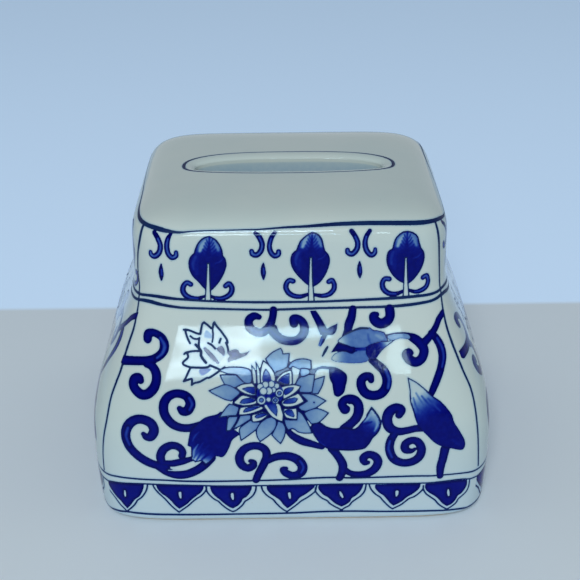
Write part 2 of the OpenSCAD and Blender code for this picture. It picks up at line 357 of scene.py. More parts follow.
# Outer petals of the big lotus, each an outline, from the back of the flower to its front
OUTER_PETALS: tuple[Points, ...] = (
    ((220, 370.3), (227, 367.5), (234, 367), (243, 367.5), (250, 370), (252, 377),
     (251, 383.5, CORNER), (245, 383), (240.5, 379), (236, 374.8), (228, 374, CORNER)),
    ((220, 375, CORNER), (225, 374.8), (235.9, 374.8, CORNER), (241.4, 380.3),
     (245, 383, CORNER), (235, 387.5), (225.9, 385.3), (223.2, 382), (221.4, 378.5)),
    ((209, 390.7, CORNER), (216.8, 387.5), (224, 384.8), (230, 385.8), (236, 389),
     (239.8, 393), (235.5, 397.5), (231, 401, CORNER), (224.5, 399.3), (217.5, 396), (212, 393)),
    ((229.3, 404, CORNER), (235, 405.5), (239, 407.5, CORNER), (238, 411.5),
     (236.5, 415.5, CORNER), (228, 416), (219, 417.5, CORNER), (222.5, 412.5), (226, 407.8)),
    ((229, 416.8, CORNER), (238.2, 416.3, CORNER), (236.5, 421), (233.5, 426), (230, 430.5),
     (226.3, 430.8, CORNER), (227, 424.5), (227.5, 419)),
    ((240, 415.7, CORNER), (245, 415.2), (250.6, 414.8, CORNER), (250.5, 419), (245.5, 422.5),
     (239, 426.5), (233, 429, CORNER), (236.5, 423.5), (238.5, 419.5)),
    ((250.3, 420.3, CORNER), (255, 421.8), (260.5, 422, CORNER), (259.5, 426), (255, 430.5),
     (249, 435), (244, 438.5), (241, 440.5, CORNER), (239.8, 434.5), (239.5, 429), (243.5, 425)),
    ((261.5, 422), (266.5, 418.5), (271.5, 417, CORNER), (276, 420.3), (275.8, 427),
     (272.5, 432), (268.5, 435.8), (264, 439), (260.3, 441.7, CORNER), (257.3, 437),
     (256.3, 431.5), (258, 426.5)),
    ((278, 421.5), (283, 423, CORNER), (285.5, 428.5), (284.8, 435), (283, 439.5),
     (280.6, 443.7, CORNER), (276, 439.5), (271.8, 435, CORNER), (274.5, 429.5), (276.8, 424.5)),
    ((297.5, 410.5, CORNER), (302, 414), (306.5, 421), (310, 427.5), (312, 433, CORNER),
     (305, 433.2), (298.5, 432), (293, 428.7), (288, 430, CORNER), (285.5, 425),
     (284, 419.5, CORNER), (290, 420), (297, 420, CORNER)),
    ((304, 413, CORNER), (310, 410), (316.8, 408.5), (322.5, 410), (328.5, 413, CORNER),
     (323.5, 418.5), (318, 422.8), (311.5, 424, CORNER), (307.5, 419)),
    ((300.5, 394, CORNER), (307, 393.8), (313.5, 394.8), (319, 397), (326, 400.8, CORNER),
     (321.5, 404), (315.5, 408), (306, 411.3, CORNER), (301, 410), (297.8, 407, CORNER),
     (303, 404), (307.5, 401, CORNER), (304, 397.5)),
    ((314.5, 379.5, CORNER), (319, 378), (324.5, 376.3, CORNER), (322.5, 385),
     (318, 394, CORNER), (311.8, 392.8), (313, 386)),
    ((297, 381, CORNER), (300, 377.5), (306, 375), (314.5, 374.3, CORNER), (314, 381),
     (312, 392.3, CORNER), (306, 392.7), (299.3, 392, CORNER), (299, 387.5), (296, 384)),
    ((288, 367.5), (290.5, 363), (296, 359.8), (304, 358.8), (311, 360.5, CORNER),
     (311.3, 369.3, CORNER), (302, 369.2), (293.5, 369, CORNER)),
    ((300.5, 369), (309, 369.4), (309, 374), (301.4, 376.6)),
    ((265.5, 358.8, CORNER), (271, 353.5), (276, 350.3), (280.7, 348.3, CORNER), (282.3, 351),
     (283, 354, CORNER), (289.3, 353.3, CORNER), (288.8, 360), (287.3, 367, CORNER),
     (283, 369.5), (277, 371.3, CORNER), (274.5, 374), (271, 368.5), (267, 361.5)),
)

# Petals left white, each an outline
WHITE_PETALS: tuple[Points, ...] = (
    ((291.8, 366.9), (296, 367.6), (300.2, 369.6, CORNER), (298.8, 376.3), (295.2, 384,
      CORNER), (291.6, 384), (292, 374)),
    ((251.6, 365, CORNER), (254.4, 369), (256, 374), (256.4, 384, CORNER), (253.6, 382.6),
     (252.2, 374)),
    ((255.8, 361.8, CORNER), (258.4, 367), (260, 374), (260.3, 383, CORNER), (257.6, 384),
     (256.8, 374)),
)

# Inner petals: a white one with its outline, and the blue heart inside it
INNER_PETALS: tuple[tuple[Points, Points], ...] = (
    (((263.1, 360.6, CORNER), (268.1, 364.4), (273.1, 370.6), (275, 375.6), (275, 381),
      (269, 385), (262, 384.5), (260.4, 380), (260.3, 373.8), (261.3, 366.9)),
     ((265.8, 369.2, CORNER), (268.8, 373.1), (270.8, 378.8), (271, 382.4), (267.8, 383.6),
      (264.2, 382.6), (262.9, 380.2), (263, 376), (264, 372.2))),
    (((276.5, 381), (279, 376.3), (283.8, 372.3), (290, 370, CORNER), (291.8, 371.5),
      (292.2, 378), (291.6, 384.6), (284, 384.6)),
     ((278.8, 380.8), (282.5, 376.5), (289.2, 373.3, CORNER), (289.2, 378), (288.8, 383.8),
      (283.8, 383.4))),
    (((280, 388.1), (287.5, 385.4), (295, 384.8), (300.6, 386.3, CORNER), (298.6, 389.6),
      (293.8, 393.8), (287.5, 397.5), (283.6, 398.8), (282.4, 394)),
     ((284.2, 390.4), (287.5, 388.1), (293.4, 387.3, CORNER), (292.4, 390), (288.8, 393.1),
      (285, 394.6))),
    (((282, 401.3), (287.5, 398), (295, 394.8), (298.8, 393.8), (304.4, 401.3, CORNER),
      (300, 403.9), (293.8, 406.3), (286.3, 406.9), (282.3, 405)),
     ((283.4, 403.1), (286.3, 400.2), (293.8, 398), (297.5, 398.9, CORNER), (295, 402.3),
      (288.8, 403.5))),
    (((283.8, 408.9), (290, 408.9), (296.5, 408, CORNER), (297.2, 413.8),
      (297, 419.4, CORNER), (290, 418.8), (285, 416.5)),
     ((285.2, 410.9), (291.3, 410.3), (294, 415), (293.4, 417, CORNER), (287.5, 414.6))),
    (((251.9, 415.3), (257, 413.6), (262.5, 411.9), (268.8, 414.4, CORNER), (262.5, 419.8),
      (256.5, 421.8), (252.3, 421.9, CORNER)),
     ((255.4, 416), (262.5, 413.3), (267, 414.2, CORNER), (262.5, 416.6), (256.9, 417.9))),
    (((238.9, 415, CORNER), (238.9, 411.3), (240.6, 407.3, CORNER), (250, 406.1),
      (258.8, 405.6), (264, 407.5, CORNER), (261.3, 410), (252.5, 413.3), (245, 414.8)),
     ((243.6, 411.9), (246.3, 408.3), (253.8, 406.9), (260, 407, CORNER), (253.8, 409.6),
      (247.5, 411.6))),
    (((264.2, 405), (266.3, 410), (271.3, 416.3), (277.5, 420), (282.5, 421.9, CORNER),
      (283.3, 415), (281.5, 408.8), (279.6, 404.4), (272, 400)),
     ((266.3, 402.8), (268.1, 406.5), (271.9, 411.3), (276.5, 415.8, CORNER), (277.1, 410),
      (275.8, 404.8), (273.8, 401), (269, 400.2))),
    (((232.8, 403, CORNER), (237.5, 398.8), (242.5, 395.2), (250, 396.9), (255.6, 399.4),
      (256, 403.8), (247.5, 405.6), (239.6, 405.2)),
     ((240, 403, CORNER), (242.9, 399.5), (250, 398.3), (255.2, 400.6), (250, 402.7),
      (243.8, 403.4))),
    (((235.6, 387.5, CORNER), (242.5, 384.2), (252.3, 383, CORNER), (254.9, 386.3),
      (255.6, 390), (255.8, 395.2, CORNER), (250, 395.2), (242.5, 392.7)),
     ((242.5, 388.9, CORNER), (248, 387.3), (254, 387.6), (254.8, 393.4), (249, 392.4))),
)

# Dark ground under the lotus, which shows between its petals
LOTUS_GROUND: Points = (
    (236, 377), (252, 372), (272, 360), (284, 358), (298, 368), (309, 378), (311, 394),
    (311, 409), (306, 422), (290, 428), (280, 434), (268, 431), (256, 429), (240, 426),
    (236, 429), (233, 414), (233, 392),
)

# Where the lotus's petals meet
LOTUS_MIDDLE = (270, 396)

# Beads at the middle of the lotus: x, y, radius and the radius of the dark eye
BEADS: Points = (
    (276.6, 386, 3, 0), (271.4, 384.2, 3.4, 0), (265.4, 384.6, 3.4, 0), (260.2, 386.6, 3.2, 0),
    (273.4, 390, 2.8, 0), (268.8, 391, 3.8, 0), (263.4, 391.2, 3.8, 0), (268.6, 399.6, 2.6, 0),
    (279.4, 393.1, 4.1, 1.9), (275.4, 400.2, 3.6, 1.8), (261.4, 400.2, 4.6, 2),
)

# One hook of each pair hanging from the shoulder line, and its mate
NECK_HOOKS: tuple[Points, ...] = (
    ((154.4, 232.5, 4.4), (157.8, 238.6, 5), (160.3, 245.6, 5.2), (159, 252.6, 5.4),
     (154.8, 256.2, 5.4), (151.4, 254.8, 5), (150.6, 252, 4)),
    ((170.8, 233.8, 2.4), (168, 238.6, 4.2), (166.7, 245.4, 5), (167.8, 252.6, 5.2),
     (171.6, 257.4, 5.2), (175.6, 256, 4.8), (176, 252.4, 3.8)),
    ((255, 232.9, 3), (259.2, 237.2, 5), (262, 243.9, 5), (261, 250.4, 5.2),
     (257, 254.8, 5.4), (252.8, 254.2, 5.2), (251.6, 251.3, 4.4)),
    ((274.8, 232.4, 3.2), (271.2, 238.3, 4.2), (269.4, 245.6, 4.6), (270.6, 251.9, 5),
     (274.4, 255.8, 5.2), (278, 254.6, 5.2), (278.6, 251.6, 4.6)),
    ((351.6, 231, 4.4), (355.2, 236.4, 4.6), (357.7, 242.8, 5), (356.8, 249, 5.2),
     (352.6, 253.8, 5.4), (348.4, 252.8, 5.2), (347.5, 249.9, 4.2)),
    ((369.9, 230.7, 3.6), (366.4, 236.4, 4.2), (365, 243.4, 4.8), (366.9, 250.9, 5.2),
     (371.2, 255, 5.2), (374.6, 252.8, 4.6), (375.2, 249, 3.2)),
)

# A drop that hangs between two hooks, and how far along and up each of the three lies from it
NECK_DROP: Points = ((161.2, 264.2, 0.8), (161, 269.5, 4), (161.3, 275, 4.4), (161.4, 280.3, 1))
NECK_DROP_STEPS: Points = ((0, 0), (102.1, -1), (198.5, -2.6))


@dataclass(frozen=True)
class NeckLeaf:
    """A leaf of the neck: its outline from the tip, its white stem's two ends, and its curls."""

    outline: Points
    stem_top: tuple[float, float]
    stem_foot: tuple[float, float]
    curls: tuple[Points, ...]


NECK_LEAVES = (
    NeckLeaf(
        ((209.4, 236.4, CORNER), (215.6, 240), (219.4, 245), (221.7, 250.6), (222.4, 255.6, CORNER),
         (225, 259.6), (225.9, 265), (224.4, 270.8), (221.7, 276.7), (217.8, 282.8),
         (212.2, 288.9), (208.4, 290.4), (204.4, 287.8), (198.9, 281.7), (193.3, 276.1),
         (190, 269.4), (189.1, 262.8), (190.6, 257.4), (194.4, 253.3, CORNER), (195.6, 248.9),
         (198.3, 243.3), (203.3, 238.3)),
        (208.3, 263.4), (208, 300),
        (((190.6, 284.3, 4.8), (187, 282.6, 4.8), (183.6, 286, 5), (183, 291, 5.4),
          (186, 295.4, 5.4), (191.5, 298, 4.6), (198, 298.4, 3.6), (205, 296, 2)),
         ((225.6, 286, 4.8), (229, 283.6, 4.8), (231.8, 287.4, 5), (231.2, 292.4, 5.2),
          (227.4, 296.4, 5), (221.6, 298.4, 4.4), (215.6, 298, 3.4), (210.6, 296, 2))),
    ),
    NeckLeaf(
        ((312.2, 232.3, CORNER), (317.8, 234.4), (321.7, 239.4), (323.3, 246.1),
         (324.7, 251.1, CORNER), (328.3, 255.6), (329.2, 261.7), (327.2, 269.4), (323.9, 276.1),
         (319.4, 282), (313.9, 285.6), (308.9, 285), (302.2, 279.4), (296.1, 272.8),
         (292.2, 266.1), (291.1, 259.4), (292.8, 253.9), (296.9, 250.3, CORNER), (298.3, 246.1),
         (301.1, 240.6), (306.7, 235.6)),
        (310.9, 257.4), (311.2, 300.4),
        (((292.9, 281.2, 5), (289.4, 280.4, 4.8), (286.6, 283.4, 4.8), (286, 288, 5),
          (288.8, 293, 5), (294.4, 296, 4.6), (301.1, 296.4, 4), (308, 294.2, 3)),
         ((328.9, 281.7, 4.8), (331.8, 280.2, 4.6), (334.2, 284.2, 4.6), (333.6, 289.6, 4.8),
          (329, 294.2, 4.6), (322.2, 295.8, 3.8), (314, 294.6, 2.8))),
    ),
    NeckLeaf(
        ((407.4, 231.3, CORNER), (413, 232.8), (417.4, 236.6), (419.2, 243.1),
         (420.8, 248.1, CORNER), (423.6, 252.6), (423.9, 258.7), (421.9, 265.9), (418, 273.1),
         (412.4, 279.8), (407.6, 283), (402.4, 282), (396.9, 278.7), (391.9, 273.1),
         (388, 265.3), (387.1, 258.1), (388.6, 252), (393, 248.7, CORNER), (393.9, 244.2),
         (396.3, 238.1), (401.9, 232.8)),
        (406, 257.6), (406, 295.9),
        (((389, 279, 5), (385, 278.8, 4.8), (382.4, 283, 4.8), (383.4, 288.8, 5),
          (388.6, 293.2, 4.8), (395.8, 293.8, 4), (403, 291.2, 2.8)),
         ((423.2, 277.2, 5), (426.6, 275.6, 4.6), (428, 280.9, 4.6), (425.8, 286.8, 4.8),
          (420.2, 290.6, 4.4), (414.7, 291.6, 3.4), (408.6, 290, 2.6))),
    ),
)


@dataclass(frozen=True)
class Lappet:
    """A lappet of the hem: its thin outline, its dark heart and the dash left white in it."""

    outline: Points
    heart: Points
    dash: Points


LAPPETS = (
    Lappet(
        ((105.8, 480.9), (107.5, 485.4), (110, 490.4), (115, 496.9), (117.5, 500.4),
         (120.5, 504.4), (124, 507.9), (127.2, 511.2, CORNER), (130, 508.9), (134, 505.4),
         (136.5, 501.9), (137.5, 500.2), (141.5, 497.4), (145, 492.9), (146.8, 488.9),
         (147.5, 484.6)),
        ((107.5, 480.9, CORNER), (116, 482.2), (125, 483.2), (135, 483.6), (144, 483.9, CORNER),
         (143.5, 488.4), (141.5, 493.4), (139, 496.9), (135.5, 499.2), (133.5, 501.4),
         (131, 504.9), (127.5, 508.4, CORNER), (124, 504.9), (120.5, 500.4), (116.5, 496.4),
         (112.5, 490.9), (109.5, 485.9)),
        ((124.8, 490.6, 1.2), (125, 493.4, 2.1), (125.3, 496, 1.4)),
    ),
    Lappet(
        ((153, 485.2), (155, 488.9), (159, 493.4), (164, 497.9), (167, 500.9), (171, 505.4),
         (175, 508.9), (179, 512.2, CORNER), (183, 509.4), (188, 505.9), (192.5, 501.9),
         (197, 498.4), (201, 495.9), (204.5, 492.4), (206.5, 488.9), (206, 486.2)),
        ((156, 484.9, CORNER), (164, 484.6), (174, 484.9), (190, 485.2), (203.5, 485.4, CORNER),
         (203.5, 488.4), (201, 492.4), (196, 496.4), (191.5, 499.9), (188, 503.4),
         (183, 506.9), (179.5, 508.9, CORNER), (175.5, 505.9), (171, 500.9), (166.5, 496.9),
         (161.5, 493.4), (157.5, 488.9)),
        ((180, 492.9, 2.6), (180.2, 495.4, 2.5), (180.7, 498, 1.2)),
    ),
    Lappet(
        ((206, 486.9), (207, 491.4), (210, 495.4), (214, 498.9), (218.5, 501.4), (221.5, 504.4),
         (226, 507.9), (230, 510.4), (233, 511.6, CORNER), (236, 510.4), (240, 507.4),
         (243, 504.4), (245, 501.4), (249, 498.9), (253, 495.4), (255.5, 490.9),
         (256.2, 485.9)),
        ((210, 485.9, CORNER), (222, 486.2), (235, 486.4), (252, 485.9, CORNER),
         (251.5, 489.4), (249.5, 493.4), (246.5, 496.9), (243, 498.9), (241.5, 501.9),
         (238.5, 505.4), (233, 508.4, CORNER), (229, 506.9), (224, 503.4), (220, 499.9),
         (216, 496.9), (212.5, 493.4), (210.5, 489.4)),
        ((232.2, 494, 2.4), (232.4, 496.4, 2.9), (233, 499.2, 1.5)),
    ),
    Lappet(
        ((261.3, 486), (263, 490.9), (267, 495.4), (273, 499.4), (276, 502.9), (280, 506.9),
         (284, 509.9), (287, 511.6, CORNER), (293, 507.4), (298, 503.6), (301, 501.1),
         (307, 497.6), (312, 494.1), (315.2, 491.1), (316.5, 485.6)),
        ((266.5, 485.9, CORNER), (280, 485.6), (302, 485.1), (315, 484.8, CORNER),
         (314, 487.6), (310, 491.1), (305, 494.6), (300, 497.6), (297, 501.1), (293, 504.6),
         (287.5, 508.4, CORNER), (283, 504.4), (280, 500.4), (275, 496.9), (270, 493.4),
         (267, 489.4)),
        ((289.2, 493.4, 2.4), (289.7, 496.2, 2.4), (290, 498.4, 1.2)),
    ),
    Lappet(
        ((315.6, 488), (315.5, 491.1), (318, 494.6), (322, 498.1), (327, 500.6), (330, 503.6),
         (335, 506.6), (339, 508.6), (341.5, 510.1, CORNER), (345, 507.6), (349, 505.6),
         (352, 502.1), (356, 499.1), (361, 495.6), (364.5, 491.1), (365.8, 486.6),
         (366, 484.3)),
        ((319, 484.6, CORNER), (330, 484.4), (342, 484.1), (363.5, 484.1, CORNER),
         (362.5, 487.6), (360, 491.6), (356, 495.6), (352, 498.1), (350, 501.6),
         (346, 504.6), (341.5, 506.6, CORNER), (336, 504.1), (331.5, 500.6), (327.5, 497.1),
         (323, 494.6), (319, 490.1), (318.2, 487.1)),
        ((340, 491.8, 1.1), (341.2, 494.6, 2.6), (342.6, 497.2, 1.7)),
    ),
    Lappet(
        ((369.2, 484.6), (371, 489.1), (375, 493.6), (380, 497.1), (383, 500.6), (387, 504.6),
         (390.5, 507.6), (392.5, 508.8, CORNER), (396, 507.1), (401, 504.6), (405, 501.6),
         (409, 498.6), (414, 496.6), (419, 493.1), (422.8, 489.1), (423.5, 485.6)),
        ((375, 484.6, CORNER), (392, 484.1), (408, 483.8), (420.5, 483.8, CORNER),
         (420, 487.1), (416.5, 491.1), (411.5, 494.6), (407, 497.1), (403, 500.6),
         (398, 503.6), (393.5, 505.6, CORNER), (390, 503.1), (387, 499.6), (383.5, 495.6),
         (379, 492.6), (375.5, 488.6)),
        ((397, 491.8, 3), (396.8, 494.1, 2.6), (396.4, 496.2, 1)),
    ),
    Lappet(
        ((423.3, 486.5), (423.5, 489.6), (426, 493.6), (430, 496.6), (435, 500.1),
         (438, 503.6), (442, 506.6), (446.8, 509.1, CORNER), (451, 506.6), (456, 502.6),
         (458, 499.1), (462, 495.6), (466, 491.6), (468.5, 486.6), (469.5, 480.2)),
        ((425, 484.1, CORNER), (442, 482.1), (455, 480.4), (467, 479.6, CORNER), (467, 484.1),
         (465, 488.6), (461.5, 493.1), (458, 495.6), (456, 499.1), (452, 503.6),
         (446.8, 506.1, CORNER), (442, 503.1), (438, 498.6), (434, 495.6), (429, 492.6),
         (425.5, 489.1)),
        ((448.2, 489.8, 1.4), (448.3, 492.6, 2.5), (448.7, 495.2, 1.8)),
    ),
)

# Lines painted right round the cover, traced across the front, from the foot up
FOOT_LINE: Points = (
    (113, 507.9, 1.8), (120, 510.6, 1.8), (130, 511.9, 1.6), (137, 512.9, 1.8), (155, 514.2, 1.9),
    (185, 514.6, 1.8), (215, 514.4, 1.6), (245, 513.9, 1.5), (291, 513, 1.6), (322, 511.6, 1.6),
    (352, 511.1, 1.5), (382, 511.4, 1.5), (412, 511.1, 1.6), (442, 510.4, 1.5), (457, 509, 1.6),
    (466, 507.9, 1.7),
)
LAPPET_LINE: Points = (
    (104, 477, 0.9), (106.5, 479.9, 0.9), (115, 481.9, 1), (125, 483.1, 1.1), (143, 483.8, 1.2),
    (173, 485, 1.2), (203, 485.6, 1.2), (215, 486, 1.2), (235, 486, 1.1), (251, 485.8, 1.1),
    (291, 485.2, 1.1), (312, 484.8, 1.1), (342, 484, 1), (392, 483.6, 1), (425, 483, 1),
    (442, 481.4, 1), (462, 479, 1), (469, 478.9, 1), (474, 477.4, 1.1), (478, 475.6, 1),
)
HEM_LINE: Points = (
    (105, 471.9, 1.3), (111, 474.9, 1.3), (120, 476.9, 1.4), (130, 478.2, 1.4),
    (145, 479.4, 1.4), (165, 480.2, 1.3), (185, 481.2, 1.6), (205, 481.4, 1.5), (225, 481.2, 1.5),
    (265, 480.4, 1.4), (291, 479.5, 1.4), (312, 478.1, 1.5), (332, 477.4, 1.5), (352, 477.8, 1.5),
    (372, 477.4, 1.4), (412, 476.1, 1.4), (432, 475.8, 1.2), (447, 474.6, 1), (462, 473.1, 1),
    (472, 471.6, 1.4), (479, 468.6, 1.3),
)
LOWER_WAIST_LINE: Points = (
    (137.5, 294.4, 2.9), (141.7, 296.9, 2.8), (146.7, 299.8, 3.1), (153.3, 302.3, 3.1),
    (160.8, 304.4, 2.6), (170.8, 306.3, 2.2), (183.3, 307.8, 1.9), (200, 308.4, 1.8),
    (225, 309.1, 1.6), (250, 309.6, 1.6), (266.7, 309.8, 1.7), (290, 309.2, 1.9),
    (315, 308.3, 1.8), (340, 307.7, 1.8), (373.3, 307.1, 2), (390, 306.5, 2.3), (406.7, 305, 2.6),
    (419.2, 303.3, 2.4), (431.7, 300.8, 2.2), (440, 298.8, 2.4), (443.5, 297.2, 2.5),
)
UPPER_WAIST_LINE: Points = (
    (138.3, 290.7, 2.4), (143.3, 293.2, 2.3), (150, 295.2, 2.4), (158.3, 296.5, 2.7),
    (166.7, 297.8, 2.7), (175, 298.8, 2.2), (183.3, 299.4, 2), (195.8, 300.3, 1.8),
    (208.3, 301.1, 1.6), (225, 301.7, 1.7), (250, 302.2, 1.9), (275, 302.2, 1.8),
    (290, 302, 1.8), (315, 301.7, 1.8), (340, 300.8, 1.9), (373.3, 299.2, 2.2), (390, 298.3, 2.5),
    (406.7, 297.1, 2.5), (423.3, 295.4, 2.3), (435.8, 293.3, 2.2), (442.5, 291.7, 2.4),
)
SHOULDER_LINE: Points = (
    (141.4, 222.6, 3.2), (148.6, 225.6, 3.4), (157.1, 228.3, 4.1), (165.7, 230.7, 3.4),
    (174.3, 232.1, 2.2), (181.4, 232.4, 1.6), (191.4, 231.4, 0.8), (205.7, 230.7, 0.6),
    (234.3, 230, 0.6), (245.7, 229.7, 0.8), (257.1, 229.5, 1), (270, 228.6, 1.3),
    (284.3, 227.4, 1.7), (304.3, 226.4, 2.3), (318.6, 225.4, 3), (332.9, 224.3, 3.6),
    (347.1, 223.6, 4.1), (361.4, 223.1, 4.4), (375.7, 222.9, 4.6), (404.3, 222.9, 4.8),
    (418.6, 222.6, 4.5), (427.1, 221.7, 4), (432.9, 220.3, 3.6), (436.6, 218.4, 3.4),
)

# The upright lines at the front's two corners, from the shoulder line down to the hem
LEFT_CORNER_LINE: Points = (
    (143.8, 224, 2.4), (141.6, 230, 2.8), (139.6, 240, 2.8), (137.9, 253.3, 2.3), (138, 270, 1.9),
    (139.4, 284, 1.8), (139.2, 292, 1.8), (138.5, 303, 1.7), (136.7, 314, 1.8),
    (133.7, 328.3, 2), (129.2, 341.7, 2.2), (125, 355, 2.2), (120.8, 370, 2), (115.8, 383.3, 1.9),
    (110.8, 398.3, 1.8), (106.7, 420, 1.7), (103.8, 436.7, 1.5), (103, 453.3, 1.4),
    (104.2, 470, 1.3),
)
RIGHT_CORNER_LINE: Points = (
    (435.4, 222, 2.2), (437.6, 230, 2.6), (438.9, 240, 2.6), (439.2, 255, 2.2),
    (439.4, 270, 1.9), (439.7, 284, 1.8), (440.8, 291, 1.8), (441.7, 300, 1.8), (443.3, 311, 1.9),
    (446.7, 326.7, 2), (451.7, 341.7, 2.2), (457.5, 356.7, 2), (463.3, 371, 1.9),
    (470.8, 388.3, 1.8), (475, 406.7, 1.7), (477.5, 428.3, 1.6), (478.3, 445, 1.5),
    (478.3, 465.8, 1.4),
)


@dataclass(frozen=True)
class PhotoCamera:
    """The camera of the photograph, found from the cover's outline in it.

    Angles are in radians and lengths in millimetres. The focal length is in pixels of a square
    picture `frame` pixels wide.
    """

    elevation: float = 0.4003
    yaw: float = -0.0020
    roll: float = -0.0114
    distance: float = 707.3
    focal: float = 1384.7
    target_height: float = 79.65
    frame: float = 580.0
    sensor_mm: float = 36.0

    def axes(self) -> tuple[Array, Array, Array]:
        """Works out the camera's own axes: level ones first, then turned by the roll.

        Returns:
            Unit vectors to its right, up its picture and back from its lens.
        """
        back = np.array((
            math.sin(self.yaw) * math.cos(self.elevation),
            -math.cos(self.yaw) * math.cos(self.elevation),
            math.sin(self.elevation),
        ))
        level = np.cross(-back, (0.0, 0.0, 1.0))
        level /= np.linalg.norm(level)
        upright = np.cross(level, -back)
        right = math.cos(self.roll) * level + math.sin(self.roll) * upright
        up = math.cos(self.roll) * upright - math.sin(self.roll) * level
        return right, up, back

    def place(self) -> Array:
        """Returns where the lens is, in millimetres."""
        return np.array((0.0, 0.0, self.target_height)) + self.axes()[2] * self.distance

    def project(self, points: Array) -> tuple[Array, Array]:
        """Gives the pixel of each point: its offset across and up, over its depth.

        Args:
            points: Places in millimetres, with x, y and z on the last axis.

        Returns:
            The pixels' x and y, from the picture's upper left corner.
        """
        right, up, back = self.axes()
        ray = points - self.place()
        depth = -(ray @ back)
        half = self.frame / 2
        return half + self.focal * (ray @ right) / depth, half - self.focal * (ray @ up) / depth

    def pixel_size(self, points: Array) -> Array:
        """Returns how many millimetres one pixel covers at each point's depth."""
        return -((points - self.place()) @ self.axes()[2]) / self.focal

    def build(self) -> None:
        """Makes the scene's camera."""
        right, up, back = self.axes()
        data = bpy.data.cameras.new("photo_camera")
        data.sensor_width = self.sensor_mm
        data.lens = self.focal * self.sensor_mm / self.frame
        data.clip_start, data.clip_end = 0.01, 100.0
        camera = bpy.data.objects.new("photo_camera", data)
        turn = Matrix(np.column_stack((right, up, back)).tolist()).to_4x4()
        camera.matrix_world = Matrix.Translation((self.place() * MM).tolist()) @ turn
        bpy.context.scene.collection.objects.link(camera)
        bpy.context.scene.camera = camera


@dataclass(frozen=True)
class ShellSizes:
    """Sizes of the cover in millimetres, the same as the solid's."""

    belly_w: float = 190.0
    neck_w: float = 147.0
    body_h: float = 148.0
    belly_z: float = 38.0
    waist_z: float = 114.0
    shoulder_z: float = 127.0
    foot_tuck: float = 2.3
    foot_round: float = 3.0
    flare_lift: float = 1.2
    neck_squareness: float = 7.5
    belly_squareness: float = 8.0
    cap_squareness: float = 4.2
    wall: float = 5.0
    foot_ring_w: float = 4.0
    foot_ring_h: float = 1.2
    slot_l: float = 92.0
    slot_w: float = 23.0
    lip_reach: float = 5.5
    lip_fall: float = 2.2
    rim_drop: float = 4.0
    slot_squareness: float = 2.6
    cap_reach_share: float = 0.86

    @property
    def neck_half(self) -> float:
        """Half the neck's width."""
        return self.neck_w / 2

    @property
    def shell_z(self) -> float:
        """Height where the glazed wall starts."""
        return self.foot_ring_h

    @property
    def cap_h(self) -> float:
        """How far the cap rises over the shoulder."""
        return self.body_h - self.shoulder_z

    @property
    def cap_edge_z(self) -> float:
        """Height of the ring where the cap turns from the square plan to the slot's oval."""
        return float(self.cap_height(np.array(self.cap_reach_share), self.cap_h))

    @property
    def slot_axes(self) -> Array:
        """Half the length and half the width of the clear slot."""
        return np.array((self.slot_l, self.slot_w)) / 2

    @property
    def crest_axes(self) -> Array:
        """Half the length and half the width of the oval at the crest of the slot's lip."""
        return self.slot_axes + self.lip_reach

    @property
    def rim_z(self) -> float:
        """Height of the lower edge of the slot's rim."""
        in_reach = (self.slot_l / 2 + self.wall) / (self.neck_half - self.wall)
        return min(
            float(self.cap_height(self.crest_axes[:1] / self.neck_half, self.cap_h)[0])
            - self.lip_fall,
            float(self.cap_height(np.array(in_reach), self.cap_h - self.wall)),
        ) - self.rim_drop

    def up_the_flare(self, z: Array) -> Array:
        """Returns 0 at the belly and 1 at the waist, with a soft step between."""
        s = np.clip((z - self.belly_z) / (self.waist_z - self.belly_z), 0, 1) ** self.flare_lift
        return s * s * (3 - 2 * s)

    def squareness(self, z: Array) -> Array:
        """Returns the power of the plan's rounded square at each height."""
        return self.belly_squareness + (
            self.neck_squareness - self.belly_squareness
        ) * self.up_the_flare(z)

    def wall_half(self, z: Array) -> Array:
        """Gives half the wall's width: neck, plus the flare, less the tuck and the rolled foot.

        Args:
            z: Heights in millimetres, up to the shoulder.

        Returns:
            Half widths in millimetres.
        """
        below = np.clip((self.belly_z - z) / (self.belly_z - self.shell_z), 0, None)
        roll = np.clip((self.shell_z + self.foot_round - z) / self.foot_round, 0, 1)
        flare = (self.belly_w / 2 - self.neck_half) * (1 - self.up_the_flare(z))
        return (
            self.neck_half + flare - self.foot_tuck * below**2
            - self.foot_round * (1 - np.sqrt(1 - roll**2))
        )

    def cap_height(self, reach: Array, rise: float) -> Array:
        """Returns the cap's height over a reach of 0 at its middle to 1 at the neck's face."""
        power = self.cap_squareness
        return self.shoulder_z + rise * (1 - np.clip(reach, 0, 1) ** power) ** (1 / power)

    def side_half(self, z: Array) -> Array:
        """Returns half the outer width at any height, over the shoulder on the cap's curve."""
        power = self.cap_squareness
        up = np.clip((z - self.shoulder_z) / self.cap_h, 0, 1)
        cap = self.neck_half * (1 - up**power) ** (1 / power)
        return np.where(z > self.shoulder_z, cap, self.wall_half(np.minimum(z, self.shoulder_z)))

    def outline(self, half: Array, power: Array, share: Array) -> tuple[Array, Array]:
        """Returns x and y on the front of |x|^n + |y|^n = half^n, from corner -1 to corner 1."""
        reach = np.clip(2 ** (-1 / power) * share, -0.9995, 0.9995)
        return half * reach, -half * (1 - np.abs(reach) ** power) ** (1 / power)


def superellipse_length(x: Array, y: Array, power: float) -> Array:
    """Returns the length of a direction by the superellipse rule."""
    return (np.abs(x) ** power + np.abs(y) ** power) ** (1 / power)


def unit(vectors: Array) -> Array:
    """Returns the vectors with a length of one."""
    return vectors / np.maximum(np.linalg.norm(vectors, axis=-1, keepdims=True), 1e-12)


def quarter_turn(vectors: Array, turns: int) -> Array:
    """Returns the vectors turned about the upright axis by a number of quarter turns."""
    c, s = ((1, 0), (0, 1), (-1, 0), (0, -1))[turns % 4]
    x, y, z = vectors[..., 0], vectors[..., 1], vectors[..., 2]
    return np.stack((c * x - s * y, s * x + c * y, z), axis=-1)


